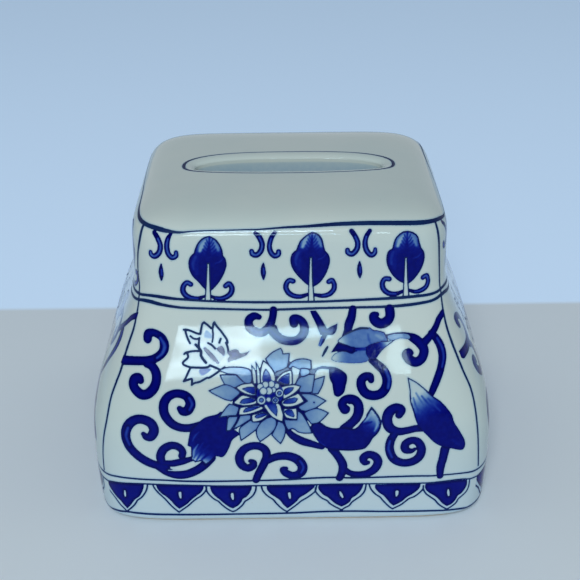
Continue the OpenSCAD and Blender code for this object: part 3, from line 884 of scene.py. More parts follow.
class SideSurface:
    """The outer wall's front side, from the foot up to the cap, on two parameters.

    One is the share along the side, from -1 to 1. The other is the length in millimetres from
    the foot up the middle of the side, which a table turns into a height.
    """

    def __init__(self, sizes: ShellSizes) -> None:
        """Measures the middle of the side.

        Args:
            sizes: The cover's sizes.
        """
        self.sizes = sizes
        turn = np.linspace(0, math.pi / 2, 60)
        foot = sizes.shell_z + sizes.foot_round * (1 - np.cos(turn))
        wall = np.linspace(foot[-1], sizes.cap_edge_z + 1.5, 5000)[1:]
        self.heights = np.concatenate((foot, wall))
        steps = np.hypot(np.diff(self.heights), np.diff(sizes.side_half(self.heights)))
        self.lengths = np.concatenate(((0.0,), np.cumsum(steps)))

    def length_at(self, z: float) -> float:
        """Returns the length from the foot up to a height."""
        return float(np.interp(z, self.heights, self.lengths))

    def points(self, share: Array, length: Array) -> Array:
        """Gives places on the side: the rounded square at the height that the length reaches.

        Args:
            share: Shares along the side.
            length: Lengths up the side, of the same shape.

        Returns:
            Places in millimetres, with x, y and z on the last axis.
        """
        z = np.interp(length, self.lengths, self.heights)
        x, y = self.sizes.outline(self.sizes.side_half(z), self.sizes.squareness(z), share)
        return np.stack((x, y, z), axis=-1)

    def normals(self, share: Array, length: Array) -> Array:
        """Gives the outward direction: the step along the side crossed with the step up it."""
        along = self.points(share + 1e-3, length) - self.points(share - 1e-3, length)
        up = self.points(share, length + 0.2) - self.points(share, length - 0.2)
        return unit(np.cross(along, up))

    def across(self, share: Array, length: Array, chords: int = 96) -> Array:
        """Gives the arc along the side from its middle, as the sum of short chords.

        Args:
            share: Shares along the side.
            length: Lengths up the side.
            chords: How many chords the arc is cut into.

        Returns:
            Arcs in millimetres, below zero to the left of the middle.
        """
        steps = np.linspace(0, 1, chords + 1)
        walk = self.points(share[..., None] * steps, np.broadcast_to(
            length[..., None], (*length.shape, chords + 1)))
        pieces = np.linalg.norm(np.diff(walk, axis=-2), axis=-1)
        return np.sign(share) * pieces.sum(axis=-1)


class Tracer:
    """Carries marks from the photograph to the sheet that follows the front side.

    The first guess comes from where that side lies in the photograph, in pixels: the x of its
    middle, half its width, the y of its foot, and its height. Limits hold each step and its end.
    """

    MIDDLE_X, HALF_WIDTH, FOOT_Y, HEIGHT = 290, 170, 515, 290
    SHARE_STEP, SHARE_LIMIT = 0.3, 1.08
    LENGTH_STEP, LENGTH_MARGIN = 20.0, 0.3

    def __init__(self, surface: SideSurface, camera: PhotoCamera) -> None:
        """Keeps the front side and the photograph's camera."""
        self.surface = surface
        self.camera = camera

    def find(self, pixels: Array, rounds: int = 14) -> Array:
        """Finds the place of each pixel on the sheet, by Newton's method on both parameters.

        Args:
            pixels: One row for each pixel: x, y and a width in pixels.
            rounds: How many times the guess is bettered.

        Returns:
            One row each: arc from the middle, length up the side, and half width, in
            millimetres.
        """
        u, v = pixels[:, 0], pixels[:, 1]
        top = self.surface.lengths[-1]
        margin = self.LENGTH_MARGIN
        share = np.clip((u - self.MIDDLE_X) / self.HALF_WIDTH, -1, 1)
        length = np.clip((self.FOOT_Y - v) / self.HEIGHT, 0.02, 0.98) * top
        for _ in range(rounds):
            gap_u, gap_v, steps = self._gap(share, length, u, v)
            (a, b), (c, d) = steps
            det = a * d - b * c
            det = np.where(np.abs(det) < 1e-6, 1e-6, det)
            aside = np.clip((d * gap_u - b * gap_v) / det, -self.SHARE_STEP, self.SHARE_STEP)
            up = np.clip((a * gap_v - c * gap_u) / det, -self.LENGTH_STEP, self.LENGTH_STEP)
            share = np.clip(share - aside, -self.SHARE_LIMIT, self.SHARE_LIMIT)
            length = np.clip(length - up, margin, top - margin)
        place = self.surface.points(share, length)
        half = pixels[:, 2] / 2 * self.camera.pixel_size(place)
        return np.column_stack((self.surface.across(share, length), length, half))

    def _gap(self, share: Array, length: Array, u: Array, v: Array) -> tuple:
        """Returns how far the guess is from the pixel, and how that changes with each step."""
        small = 1e-3, 0.1
        at_u, at_v = self.camera.project(self.surface.points(share, length))
        side_u, side_v = self.camera.project(self.surface.points(share + small[0], length))
        up_u, up_v = self.camera.project(self.surface.points(share, length + small[1]))
        return at_u - u, at_v - v, (
            ((side_u - at_u) / small[0], (up_u - at_u) / small[1]),
            ((side_v - at_v) / small[0], (up_v - at_v) / small[1]),
        )

    def trace(self, marks: Sequence[Mark]) -> list[tuple[Mark, Array, Array]]:
        """Carries whole marks over, all their points at once.

        Args:
            marks: Marks in pixels.

        Returns:
            Each mark with its path and the two ends of its fade on the sheet.
        """
        paths = [smooth_path(mark) for mark in marks]
        fades = [np.array([(x, y, 0.0) for x, y, _ in mark.fade]).reshape(-1, 3) for mark in marks]
        found = self.find(np.concatenate(paths + fades))
        cuts = np.cumsum([len(part) for part in paths + fades])[:-1]
        parts = np.split(found, cuts)
        return list(zip(marks, parts[: len(marks)], parts[len(marks):]))


def smooth_path(mark: Mark, per_span: int = 6) -> Array:
    """Runs a soft curve through a mark's points: the Catmull-Rom cubic on each span.

    At a corner the span's outer neighbour is the corner itself, so the curve arrives straight.

    Args:
        mark: The mark.
        per_span: How many pieces each span is cut into.

    Returns:
        One row for each point of the curve: x, y and width.
    """
    given = np.array([(p[0], p[1], p[2] if len(p) > 2 else 0.0) for p in mark.points])
    corner = given[:, 2] == CORNER
    rows = given.copy()
    if mark.closed or mark.width > 0:
        rows[:, 2] = mark.width
    count = len(rows)
    first = np.arange(count if mark.closed else count - 1)
    index = np.stack((first - 1, first, first + 1, first + 2))
    index = index % count if mark.closed else np.clip(index, 0, count - 1)
    index[0] = np.where(corner[index[1]], index[1], index[0])
    index[3] = np.where(corner[index[2]], index[2], index[3])
    p0, p1, p2, p3 = (rows[i][:, None, :] for i in index)
    t = (np.arange(per_span) / per_span)[None, :, None]
    curve = 0.5 * (
        2 * p1 + (p2 - p0) * t + (2 * p0 - 5 * p1 + 4 * p2 - p3) * t**2
        + (3 * p1 - p0 - 3 * p2 + p3) * t**3
    )
    curve = curve.reshape(-1, 3)
    return curve if mark.closed else np.vstack((curve, rows[-1:]))


def segment_distance(x: Array, y: Array, path: Array, closed: bool, thick: bool) -> Array:
    """Gives the distance from points to a chain of segments, less its half width if asked.

    The nearest place on a segment is the point's foot on it, held between its ends, and the
    half width there is a mix of the two ends' by the same share.

    Args:
        x: Points' arcs.
        y: Points' lengths.
        path: Rows of arc, length and half width.
        closed: Whether the chain runs back to its start.
        thick: Whether the half width is taken off.

    Returns:
        Distances in millimetres.
    """
    start = path if closed else path[:-1]
    end = np.roll(path, -1, axis=0) if closed else path[1:]
    run = end - start
    square = np.maximum(run[:, 0] ** 2 + run[:, 1] ** 2, 1e-12)
    dx, dy = x[:, None] - start[:, 0], y[:, None] - start[:, 1]
    share = np.clip((dx * run[:, 0] + dy * run[:, 1]) / square, 0, 1)
    gap = np.hypot(dx - share * run[:, 0], dy - share * run[:, 1])
    if thick:
        gap = gap - (start[:, 2] + share * run[:, 2])
    return gap.min(axis=1)


def area_distance(x: Array, y: Array, path: Array) -> Array:
    """Gives the signed distance to a closed outline, below zero inside it.

    A point is inside where a line to the right of it crosses the outline an odd number of
    times.

    Args:
        x: Points' arcs.
        y: Points' lengths.
        path: The outline's rows of arc, length and half width.

    Returns:
        Signed distances in millimetres.
    """
    end = np.roll(path, -1, axis=0)
    rise = end[:, 1] - path[:, 1]
    rise = np.where(np.abs(rise) < 1e-9, 1e-9, rise)
    spans = (path[:, 1] > y[:, None]) != (end[:, 1] > y[:, None])
    cross_x = path[:, 0] + (end[:, 0] - path[:, 0]) * (y[:, None] - path[:, 1]) / rise
    inside = (spans & (x[:, None] < cross_x)).sum(axis=1) % 2 == 1
    gap = segment_distance(x, y, path, closed=True, thick=False)
    return np.where(inside, -gap, gap)


@dataclass
class PaintSheet:
    """A patch of one side, and what the brush has left on it.

    `edge` is the distance to the nearest paint of any kind and `ink` to full cobalt, both below
    zero inside it. `tone` is how much cobalt a wash holds, and `fine` whether the ink there is a
    fine line's, both from 0 to 1.
    """

    across: Array
    along: Array
    edge: Array = field(init=False)
    ink: Array = field(init=False)
    tone: Array = field(init=False)
    fine: Array = field(init=False)

    def __post_init__(self) -> None:
        """Starts with a bare sheet."""
        self.edge = np.full(self.across.shape, UNTOUCHED)
        self.ink = np.full(self.across.shape, UNTOUCHED)
        self.tone = np.zeros(self.across.shape)
        self.fine = np.zeros(self.across.shape)

    def lay(self, mark: Mark, path: Array, fade: Array) -> None:
        """Lays one mark on the sheet, over what is there.

        Args:
            mark: The mark.
            path: Its path on the sheet.
            fade: The two ends of its fade on the sheet, or nothing.
        """
        reach = PAST_MARK + path[:, 2].max()
        low, high = path[:, :2].min(axis=0) - reach, path[:, :2].max(axis=0) + reach
        near = np.flatnonzero(
            (self.across > low[0]) & (self.across < high[0])
            & (self.along > low[1]) & (self.along < high[1])
        )
        if near.size == 0:
            return
        x, y = self.across.flat[near], self.along.flat[near]
        if mark.closed:
            gap = area_distance(x, y, path)
        else:
            gap = segment_distance(x, y, path, closed=False, thick=True)
            gap -= SPREAD if mark.pigment is Pigment.INK else 0.0
        tone = self._faded(mark, fade, x, y)
        if mark.pigment is Pigment.INK:
            fine = not mark.closed and path[:, 2].max() < FINE_HALF
            self._ink(near, gap, np.full(near.shape, float(fine)))
        else:
            self._apply(mark.pigment, near, gap, tone)
        if mark.closed and mark.width > 0:
            self._ink(near, np.abs(gap) - path[0, 2], 1 - tone)

    def _faded(self, mark: Mark, fade: Array, x: Array, y: Array) -> Array:
        """Returns the tone at each point: even, or a soft run between the fade's two ends."""
        if len(fade) < 2:
            return np.full(x.shape, mark.tone)
        start, run = fade[0, :2], fade[1, :2] - fade[0, :2]
        share = ((x - start[0]) * run[0] + (y - start[1]) * run[1]) / (run @ run)
        share = np.clip(share, 0, 1)
        low, high = mark.fade[0][2], mark.fade[1][2]
        return low + (high - low) * share * share * (3 - 2 * share)

    def _ink(self, near: Array, gap: Array, fine: Array) -> None:
        """Adds full cobalt, so the smaller distance wins, and notes where it is a fine line's.

        Args:
            near: The sheet's points within reach of the mark.
            gap: Their signed distances.
            fine: How far the mark is a fine line there, from 0 to 1.
        """
        ink = self.ink.flat[near]
        newest = gap < np.minimum(ink, FINE_PAST)
        self.fine.flat[near] = np.where(newest, fine, self.fine.flat[near])
        self.ink.flat[near] = np.minimum(ink, gap)
        self.edge.flat[near] = np.minimum(self.edge.flat[near], gap)

    def _apply(self, pigment: Pigment, near: Array, gap: Array, tone: Array) -> None:
        """Joins a mark's distance with the sheet's by the rule of its pigment.

        Wash adds to the paint, so the smaller distance wins. Wash and bare clay take ink away,
        so the larger of the ink's distance and the mark's turned round wins.

        Args:
            pigment: What the mark is painted with.
            near: The sheet's points within reach of it.
            gap: Their signed distances.
            tone: The mark's tone at them.
        """
        edge, ink, held = self.edge.flat[near], self.ink.flat[near], self.tone.flat[near]
        if pigment is Pigment.WASH:
            fresh = (edge > FRESH_GAP) & (gap < FRESH_PAST)
            weight = np.clip(0.5 - gap / WASH_RUN, 0, 1)
            held = np.where(fresh, tone, held + (tone - held) * weight)
            edge, ink = np.minimum(edge, gap), np.maximum(ink, -gap)
        elif pigment is Pigment.STREAK:
            weight = np.clip(0.5 - gap / STREAK_RUN, 0, 1)
            under = np.where(ink < 0, 1.0, held)
            held = under + (tone - under) * weight
            ink = np.maximum(ink, np.minimum(STREAK_PUSH - gap, STREAK_PUSH_MOST))
        else:
            edge, ink = np.maximum(edge, -gap), np.maximum(ink, -gap)
        self.edge.flat[near], self.ink.flat[near], self.tone.flat[near] = edge, ink, held

    def long_line(self, gap: Array) -> None:
        """Draws a line whose distances are known over the whole sheet."""
        self._ink(np.arange(gap.size), gap.ravel() - SPREAD, np.ones(gap.size))


class Decoration:
    """The whole painting of one side, with the rings that go on round the others."""

    def __init__(self, tracer: Tracer) -> None:
        """Traces every mark once.

        Args:
            tracer: Carries pixels to the sheet.
        """
        self.tracer = tracer
        self.surface = tracer.surface
        marks = (*SCROLL_STROKES, *SCROLL_STREAKS, *LEAVES, *SMALL_LOTUS, *self.lotus(),
                 *self.neck(), *self.lappets())
        self.laid = tracer.trace(marks)
        self.rings = [RingLine(tracer, points) for points in (
            FOOT_LINE, LAPPET_LINE, HEM_LINE, LOWER_WAIST_LINE, UPPER_WAIST_LINE, SHOULDER_LINE)]
        self.corners = (CornerLine(tracer, LEFT_CORNER_LINE, -1),
                        CornerLine(tracer, RIGHT_CORNER_LINE, 1))

    @staticmethod
    def lotus() -> list[Mark]:
        """Builds the big lotus: shaded petals, white ones, hearts and beads."""
        marks = [solid(*LOTUS_GROUND)]
        marks += [shaded(petal, 0.12, 0.21, 1.2) for petal in OUTER_PETALS]
        marks += [wash(0.02, *petal, width=0.9) for petal in WHITE_PETALS]
        for petal, heart in INNER_PETALS:
            marks += [wash(0.0, *petal, width=1.3), shaded(heart, 0.36, 0.66, 0.9)]
        marks.append(wash(0.8, (259, 386), (266, 381.6), (276, 382), (283, 391), (281, 400),
                          (272, 404), (261, 404), (257, 396)))
        for x, y, radius, eye in BEADS:
            marks.append(wash(0.03, *circle(x, y, radius), width=0.9))
            if eye:
                marks.append(wash(0.3, *circle(x, y, eye), width=1.0))
        marks.append(solid(*circle(314, 402.5, 0.9)))
        return marks

    @staticmethod
    def neck() -> list[Mark]:
        """Builds the neck's hooks, drops, leaves and curls."""
        marks: list[Mark] = []
        for hook in NECK_HOOKS:
            marks += brushed(hook, 0.23)
        for along, up in NECK_DROP_STEPS:
            drop = [(x + along, y + up, w) for x, y, w in NECK_DROP]
            run = ((x + 0.5, y, w * 0.36) for x, y, w in drop[1:3])
            marks += [stroke(*drop), streak(0.35, *run)]
        for leaf in NECK_LEAVES:
            for curl in leaf.curls:
                marks += brushed(curl[::-1], 0.32)
            marks += neck_leaf(leaf)
        return marks

    @staticmethod
    def lappets() -> list[Mark]:
        """Builds the hem's lappets: thin outline, white border, dark heart and white dash."""
        marks: list[Mark] = []
        for lappet in LAPPETS:
            marks += [line(1.1, *lappet.outline), solid(*lappet.heart), bare(*lappet.dash)]
        return marks

    def paint(self, share: Array, length: Array, face: Face) -> PaintSheet:
        """Paints one patch of the side.

        Args:
            share: The patch's shares along the side.
            length: Its lengths up the side.
            face: Which pair of sides it is on.

        Returns:
            The painted sheet.
        """
        points = self.surface.points(share, length)
        steps = np.linalg.norm(np.diff(points, axis=1), axis=-1)
        across = np.concatenate((np.zeros((len(points), 1)), np.cumsum(steps, axis=1)), axis=1)
        across -= across[:, across.shape[1] // 2][:, None]
        sheet = PaintSheet(across, length)
        for mark, path, fade in self.laid:
            sheet.lay(mark, path, fade)
        as_traced = face is Face.FRONT_AND_BACK
        for ring in self.rings[:-1]:
            ring.draw(sheet)
        self.rings[-1].draw(sheet, 1.0 if as_traced else 0.2)
        for upright, end in zip(self.corners, (-1, 1) if as_traced else (1, -1)):
            upright.draw(sheet, end)
        return sheet


def long_path(tracer: Tracer, points: Points) -> tuple[Array, Array, Array, Array]:
    """Returns a traced line's arcs, half its side's arc there, its lengths and its half widths."""
    arc, length, half = tracer.find(smooth_path(Mark(points))).T
    return arc, tracer.surface.across(np.ones(len(arc)), length), length, half


class RingLine:
    """A line right round the cover, kept as a table along one side.

    The table has the line's length up the side and its half width by the share of the arc. Where
    the side's two ends differ, each leans to their mean over the last of the side, so that the
    line goes on round the corner.
    """

    def __init__(self, tracer: Tracer, points: Points) -> None:
        """Traces the line from its points across the front, each with its width."""
        arc, quarter, self.length, self.half = long_path(tracer, points)
        self.share = arc / quarter

    def draw(self, sheet: PaintSheet, middle: float = 1.0) -> None:
        """Draws the ring on a patch of a side.

        Args:
            sheet: The patch.
            middle: The share of its width that it keeps in the side's middle.
        """
        share = sheet.across / sheet.across[:, -1:]
        lean = np.clip((np.abs(share) - 0.9) / 0.1, 0, 1) ** 2
        height, width = (self._closed(share, lean, table) for table in (self.length, self.half))
        half = width * (middle + (1 - middle) * share**4)
        sheet.long_line(np.abs(sheet.along - height) - half)

    def _closed(self, share: Array, lean: Array, table: Array) -> Array:
        """Returns a table's values, each end leaning to the mean of both."""
        ends = np.interp((-1.0, 1.0), self.share, table)
        gap = np.where(share < 0, ends.mean() - ends[0], ends.mean() - ends[1])
        return np.interp(share, self.share, table) + lean * gap


class CornerLine:
    """An upright line at a corner: how far it wanders from the corner, by the length up."""

    def __init__(self, tracer: Tracer, points: Points, side: int) -> None:
        """Traces the line.

        Args:
            tracer: Carries pixels to the sheet.
            points: The line's points from the top down, each with its width.
            side: -1 for the front's left corner and 1 for its right.
        """
        found = [values[::-1] for values in long_path(tracer, points)]
        arc, quarter, self.length, self.half = found
        self.offset = arc - side * quarter

    def draw(self, sheet: PaintSheet, end: int) -> None:
        """Draws what falls on one side of the corner.

        Args:
            sheet: The patch.
            end: -1 at the side's left end and 1 at its right.
        """
        middle = end * sheet.across[:, -1:] + np.interp(sheet.along, self.length, self.offset)
        gap = np.abs(sheet.across - middle) - np.interp(sheet.along, self.length, self.half)
        low, high = self.length[0], self.length[-1]
        sheet.long_line(np.maximum(gap, np.maximum(low - sheet.along, sheet.along - high)))


def circle(x: float, y: float, radius: float) -> Points:
    """Returns eight points on a circle."""
    turns = [math.tau * i / 8 for i in range(8)]
    return tuple((x + radius * math.cos(t), y + radius * math.sin(t)) for t in turns)


def shaded(outline: Points, pale: float, dark: float, width: float) -> Mark:
    """Returns a petal's wash, pale at the point farthest from the flower's middle, dark nearest."""
    far = sorted(outline, key=lambda p: math.dist(p[:2], LOTUS_MIDDLE))
    return wash(1.0, *outline, width=width, fade=((*far[-1][:2], pale), (*far[0][:2], dark)))


def brushed(points: Points, core: float) -> list[Mark]:
    """Builds a dark stroke with a paler run down its middle.

    Args:
        points: Its middle line, with its width at each point.
        core: The tone of the run.

    Returns:
        The stroke and the run.
    """
    run = [(x, y, w * 0.36) for x, y, w in points[1:-2]]
    run += [(x, y, w * 0.5) for x, y, w in points[-2:]]
    return [stroke(*points), streak(core, *run)]


def neck_leaf(leaf: NeckLeaf) -> list[Mark]:
    """Builds one leaf of the neck: pale lobes beside a feathered rib, a dark body, a white stem.

    Args:
        leaf: The leaf.

    Returns:
        Its marks, in the order they are painted.
    """
    (tx, ty), (sx, sy), (fx, fy) = leaf.outline[0][:2], leaf.stem_top, leaf.stem_foot
    marks = [
        wash(1.0, *leaf.outline, width=1.5, fade=((tx, ty + 5, 0.26), (tx, ty + 25, 1.0))),
        streak(0.13, (tx - 3.6, ty + 4, 2), (tx - 7.2, ty + 9, 4.6), (tx - 9.6, ty + 14.6, 3.4)),
        streak(0.25, (tx + 3.6, ty + 4, 1.6), (tx + 7, ty + 9, 3.6), (tx + 9, ty + 14, 2.4)),
        streak(0.95, (tx - 0.4, ty + 9, 0.8), (tx - 0.8, ty + 17, 5), (tx - 0.8, ty + 27, 10)),
        streak(0.8, (tx - 12, ty + 19, 5), (tx - 14.4, ty + 27, 7), (tx - 12.6, ty + 37, 4)),
        streak(0.62, (tx - 14, ty + 20.6, 3), (tx - 16.4, ty + 27, 3.4), (tx - 16, ty + 33, 2)),
        streak(0.5, (tx + 6, ty + 27, 0.7), (tx + 10.4, ty + 25.4, 0.9), (tx + 13.6, ty + 22, 0.7)),
        streak(1.0, (tx, ty + 0.6, 0.8), (tx - 0.3, ty + 11, 0.8), (sx, sy, 0.6)),
    ]
    for side in (-1, 1):
        for drop, reach in ((5, 3), (8, 4.2), (11, 5.4), (14.5, 6.6), (18, 7.4)):
            marks.append(streak(0.9, (tx - 0.3, ty + drop + 3.4, 0.9), (
                tx + side * reach * 0.6, ty + drop + 1.2, 0.7), (
                tx + side * reach, ty + drop - 1.6, 0.3)))
    marks += [
        line(1.0, (sx - 0.8, sy), (sx - 1.5, (sy + fy) / 2), (fx - 2.8, fy)),
        line(1.0, (sx + 0.8, sy), (sx + 1.5, (sy + fy) / 2), (fx + 2.8, fy)),
        bare((sx, sy + 1, 1), (sx - 0.2, (sy + fy) / 2, 2.4), (fx, fy, 4.4)),
    ]
    return marks


class NodeSheet:
    """The nodes of a material or of the world, with short ways to add and wire them."""

    def __init__(self, owner: bpy.types.Material | bpy.types.World) -> None:
        """Keeps the owner's nodes."""
        owner.use_nodes = True
        self.tree = owner.node_tree

    def add(self, kind: str, *values: object, **settings: object) -> bpy.types.Node:
        """Adds a node and fills its inputs in order.

        Args:
            kind: The node's type.
            values: A socket to wire in, a value to set, or None to leave the input alone.
            settings: The node's own settings.

        Returns:
            The node.
        """
        node = self.tree.nodes.new(kind)
        for key, value in settings.items():
            setattr(node, key, value)
        for i, value in enumerate(values):
            if isinstance(value, Socket):
                self.tree.links.new(value, node.inputs[i])
            elif value is not None:
                node.inputs[i].default_value = value
        return node

    def math(self, operation: str, *values: object) -> Socket:
        """Returns the result of a Math node."""
        return self.add("ShaderNodeMath", *values, operation=operation).outputs[0]

    def spread(self, value: Socket, low: float, high: float, to_low: float, to_high: float) -> Socket:
        """Returns a value mapped softly from one range to another, held at its ends."""
        ends = low, high, to_low, to_high
        return self.add("ShaderNodeMapRange", value, *ends, interpolation_type="SMOOTHSTEP").outputs[0]


class Finish(NodeSheet):
    """A material's nodes round its surface shader."""

    def __init__(self, name: str) -> None:
        """Starts a material of this name with one surface shader."""
        self.material = bpy.data.materials.new(name)
        super().__init__(self.material)
        self.tree.nodes.clear()
        self.shader = self.add("ShaderNodeBsdfPrincipled")
        self.add("ShaderNodeOutputMaterial", self.shader.outputs[0])
        self.place = self.add("ShaderNodeTexCoord").outputs["Object"]

    def noise(self, scale: float, detail: float = 2.0) -> Socket:
        """Returns a noise over the object's place, with its scale per metre."""
        node = self.add("ShaderNodeTexNoise")
        self.tree.links.new(self.place, node.inputs["Vector"])
        node.inputs["Scale"].default_value = scale
        node.inputs["Detail"].default_value = detail
        return node.outputs["Fac"]

    def attribute(self, name: str) -> Socket:
        """Returns a number kept on the mesh's vertices."""
        return self.add("ShaderNodeAttribute", attribute_name=name).outputs["Fac"]

    def mix(self, share: object, first: object, second: object, blend: str = "MIX") -> Socket:
        """Mixes two colours.

        Args:
            share: How much of the second.
            first: A colour or a socket.
            second: A colour or a socket.
            blend: How they mix.

        Returns:
            The mixed colour.
        """
        node = self.add("ShaderNodeMix", data_type="RGBA", blend_type=blend)
        for name, value in (("Factor_Float", share), ("A_Color", first), ("B_Color", second)):
            socket = next(s for s in node.inputs if s.identifier == name)
            if isinstance(value, Socket):
                self.tree.links.new(value, socket)
            else:
                socket.default_value = value
        return next(s for s in node.outputs if s.identifier == "Result_Color")

    def wire(self, value: Socket, socket: str) -> None:
        """Wires a value into the surface shader."""
        self.tree.links.new(value, self.shader.inputs[socket])

    def bump(self, height: Socket, depth: float) -> None:
        """Raises the surface by a height times a depth in metres."""
        node = self.add("ShaderNodeBump")
        node.inputs["Strength"].default_value = 1.0
        node.inputs["Distance"].default_value = depth
        self.tree.links.new(height, node.inputs["Height"])
        self.wire(node.outputs[0], "Normal")


@dataclass(frozen=True)
class Glaze:
    """Clear glaze over white porcelain, with cobalt painted under it where asked.

    Cobalt takes light away as a dye does: white times e to the power of minus the density times
    each colour's strength. Where it lies thick, a second strength counts by the density squared.
    Strokes darken to their rims, and fine lines fired greyer and less glossy.
    """

    name: str
    painted: bool
    white: Colour = (0.525, 0.62, 0.635)
    pooled: Colour = (0.487, 0.597, 0.62)
    # Bluish tint at the foot: a painted shade with blue bounce light from the cloth
    run: Colour = (0.48, 0.615, 0.71)
    cobalt: Colour = (7.0, 4.3, 1.42)
    deep: Colour = (0.6, 2.0, 0.0)
    rim: Colour = (7.0, 4.6, 1.95)
    pencil: Colour = (5.0, 1.7, 1.95)
    sheen: Colour = (0.55, 0.75, 1.0)
    gloss: float = 0.055
    softness: float = 0.1
    bend: float = 1.5
    shine: float = 0.18
    waviness: float = 0.00022

    def build(self) -> bpy.types.Material:
        """Makes the material."""
        sheet = Finish(self.name)
        colour = self.ground(sheet)
        if self.painted:
            colour = self.painting(sheet, colour)
        sheet.wire(colour, "Base Color")
        rough = sheet.spread(sheet.noise(55.0, 3.0), 0.3, 0.7, self.gloss * 0.8, self.gloss * 1.35)
        if self.painted:
            lined = sheet.spread(sheet.attribute("ink_edge"), -0.05, 0.2, 0.4, 0.0)
            rough = sheet.math("MULTIPLY_ADD", lined, sheet.attribute("fine_line"), rough)
        sheet.wire(rough, "Roughness")
        sheet.shader.inputs["IOR"].default_value = self.bend
        sheet.shader.inputs["Specular IOR Level"].default_value = self.shine
        sheet.shader.inputs["Specular Tint"].default_value = (*self.sheen, 1)
        slow, fine = sheet.noise(42.0, 1.0), sheet.noise(420.0, 2.0)
        sheet.bump(sheet.math("MULTIPLY_ADD", fine, 0.05, slow), self.waviness)
        return sheet.material

    def ground(self, sheet: Finish) -> Socket:
        """Returns the specked white ground, bluer where the glaze ran and in painted shade at the
        foot.
        """
        thick = sheet.spread(sheet.noise(16.0, 3.0), 0.35, 0.7, 0.0, 1.0)
        colour = sheet.mix(thick, (*self.white, 1), (*self.pooled, 1))
        height = sheet.add("ShaderNodeSeparateXYZ", sheet.place).outputs[2]
        # Painted shade with blue bounce light from the cloth, strongest at the foot
        colour = sheet.mix(sheet.spread(height, 0.0, 0.06, 1.0, 0.0), colour, (*self.run, 1))
        speck = sheet.spread(sheet.noise(900.0, 1.0), 0.79, 0.83, 0.0, 0.35)
        return sheet.mix(speck, colour, (0.16, 0.15, 0.14, 1))

    def painting(self, sheet: Finish, ground: Socket) -> Socket:
        """Lays the cobalt over the ground.

        Args:
            sheet: The material's nodes.
            ground: The ground's colour.

        Returns:
            The painted colour.
        """
        rag = sheet.math("MULTIPLY", sheet.math("SUBTRACT", sheet.noise(1500.0, 2.0), 0.5), 0.22)
        edge = sheet.math("ADD", sheet.attribute("paint_edge"), rag)
        ink = sheet.math("ADD", sheet.attribute("ink_edge"), rag)
        covered = sheet.spread(edge, -self.softness, self.softness, 1.0, 0.0)
        inked = sheet.spread(ink, -self.softness * 1.4, self.softness, 1.0, 0.0)
        bleed = sheet.spread(ink, 0.0, 1.0, 0.045, 0.0)
        cloud = sheet.spread(sheet.noise(90.0, 3.0), 0.3, 0.7, 0.93, 1.05)
        pool = sheet.spread(ink, -1.8, -0.35, 0.9, 1.0)
        full = sheet.math("MULTIPLY", pool, cloud)
        grain = sheet.spread(sheet.noise(420.0, 3.0), 0.3, 0.7, 0.92, 1.08)
        washed = sheet.math("MULTIPLY", sheet.attribute("wash_tone"), grain)
        paint = sheet.math("ADD", sheet.math("MULTIPLY", full, inked), sheet.math(
            "MULTIPLY", washed, sheet.math("SUBTRACT", 1.0, inked)))
        density = sheet.math("ADD", sheet.math("MULTIPLY", paint, covered), bleed)
        rim = sheet.math("MULTIPLY", sheet.spread(ink, -1.8, -0.2, 0.0, 1.0), inked)
        fine = sheet.math("MULTIPLY", sheet.attribute("fine_line"), inked)
        strength = sheet.mix(rim, (*self.cobalt, 1), (*self.rim, 1))
        strength = sheet.mix(fine, strength, (*self.pencil, 1))
        thin = sheet.add("ShaderNodeSeparateXYZ", strength).outputs
        passed = [
            sheet.math("EXPONENT", sheet.math("MULTIPLY", density, sheet.math(
                "SUBTRACT", sheet.math("MULTIPLY", density, -thick), part)))
            for part, thick in zip(thin, self.deep)]
        filtered = sheet.add("ShaderNodeCombineColor", *passed).outputs[0]
        return sheet.mix(1.0, ground, filtered, "MULTIPLY")


@dataclass(frozen=True)
class BareClay:
    """Fired clay without glaze, matt and a little gritty, warmer in patches."""

    name: str = "unglazed_clay"
    clay: Colour = (0.55, 0.50, 0.43)
    flashed: Colour = (0.50, 0.37, 0.25)

    def build(self) -> bpy.types.Material:
        """Makes the material."""
        sheet = Finish(self.name)
        patch = sheet.spread(sheet.noise(30.0, 4.0), 0.4, 0.7, 0.0, 0.6)
        grit = sheet.spread(sheet.noise(1400.0, 3.0), 0.3, 0.7, 0.0, 0.25)
        colour = sheet.mix(patch, (*self.clay, 1), (*self.flashed, 1))
        sheet.wire(sheet.mix(grit, colour, (0.24, 0.2, 0.17, 1)), "Base Color")
        sheet.wire(sheet.spread(sheet.noise(600.0, 2.0), 0.3, 0.7, 0.75, 0.95), "Roughness")
        sheet.bump(sheet.noise(1800.0, 4.0), 0.0002)
        return sheet.material


def cell_corners(grid: Array) -> Array:
    """Returns the four corners of each cell of a grid, anticlockwise from outside."""
    return np.stack((grid[:-1, :-1], grid[:-1, 1:], grid[1:, 1:], grid[1:, :-1]), axis=2)


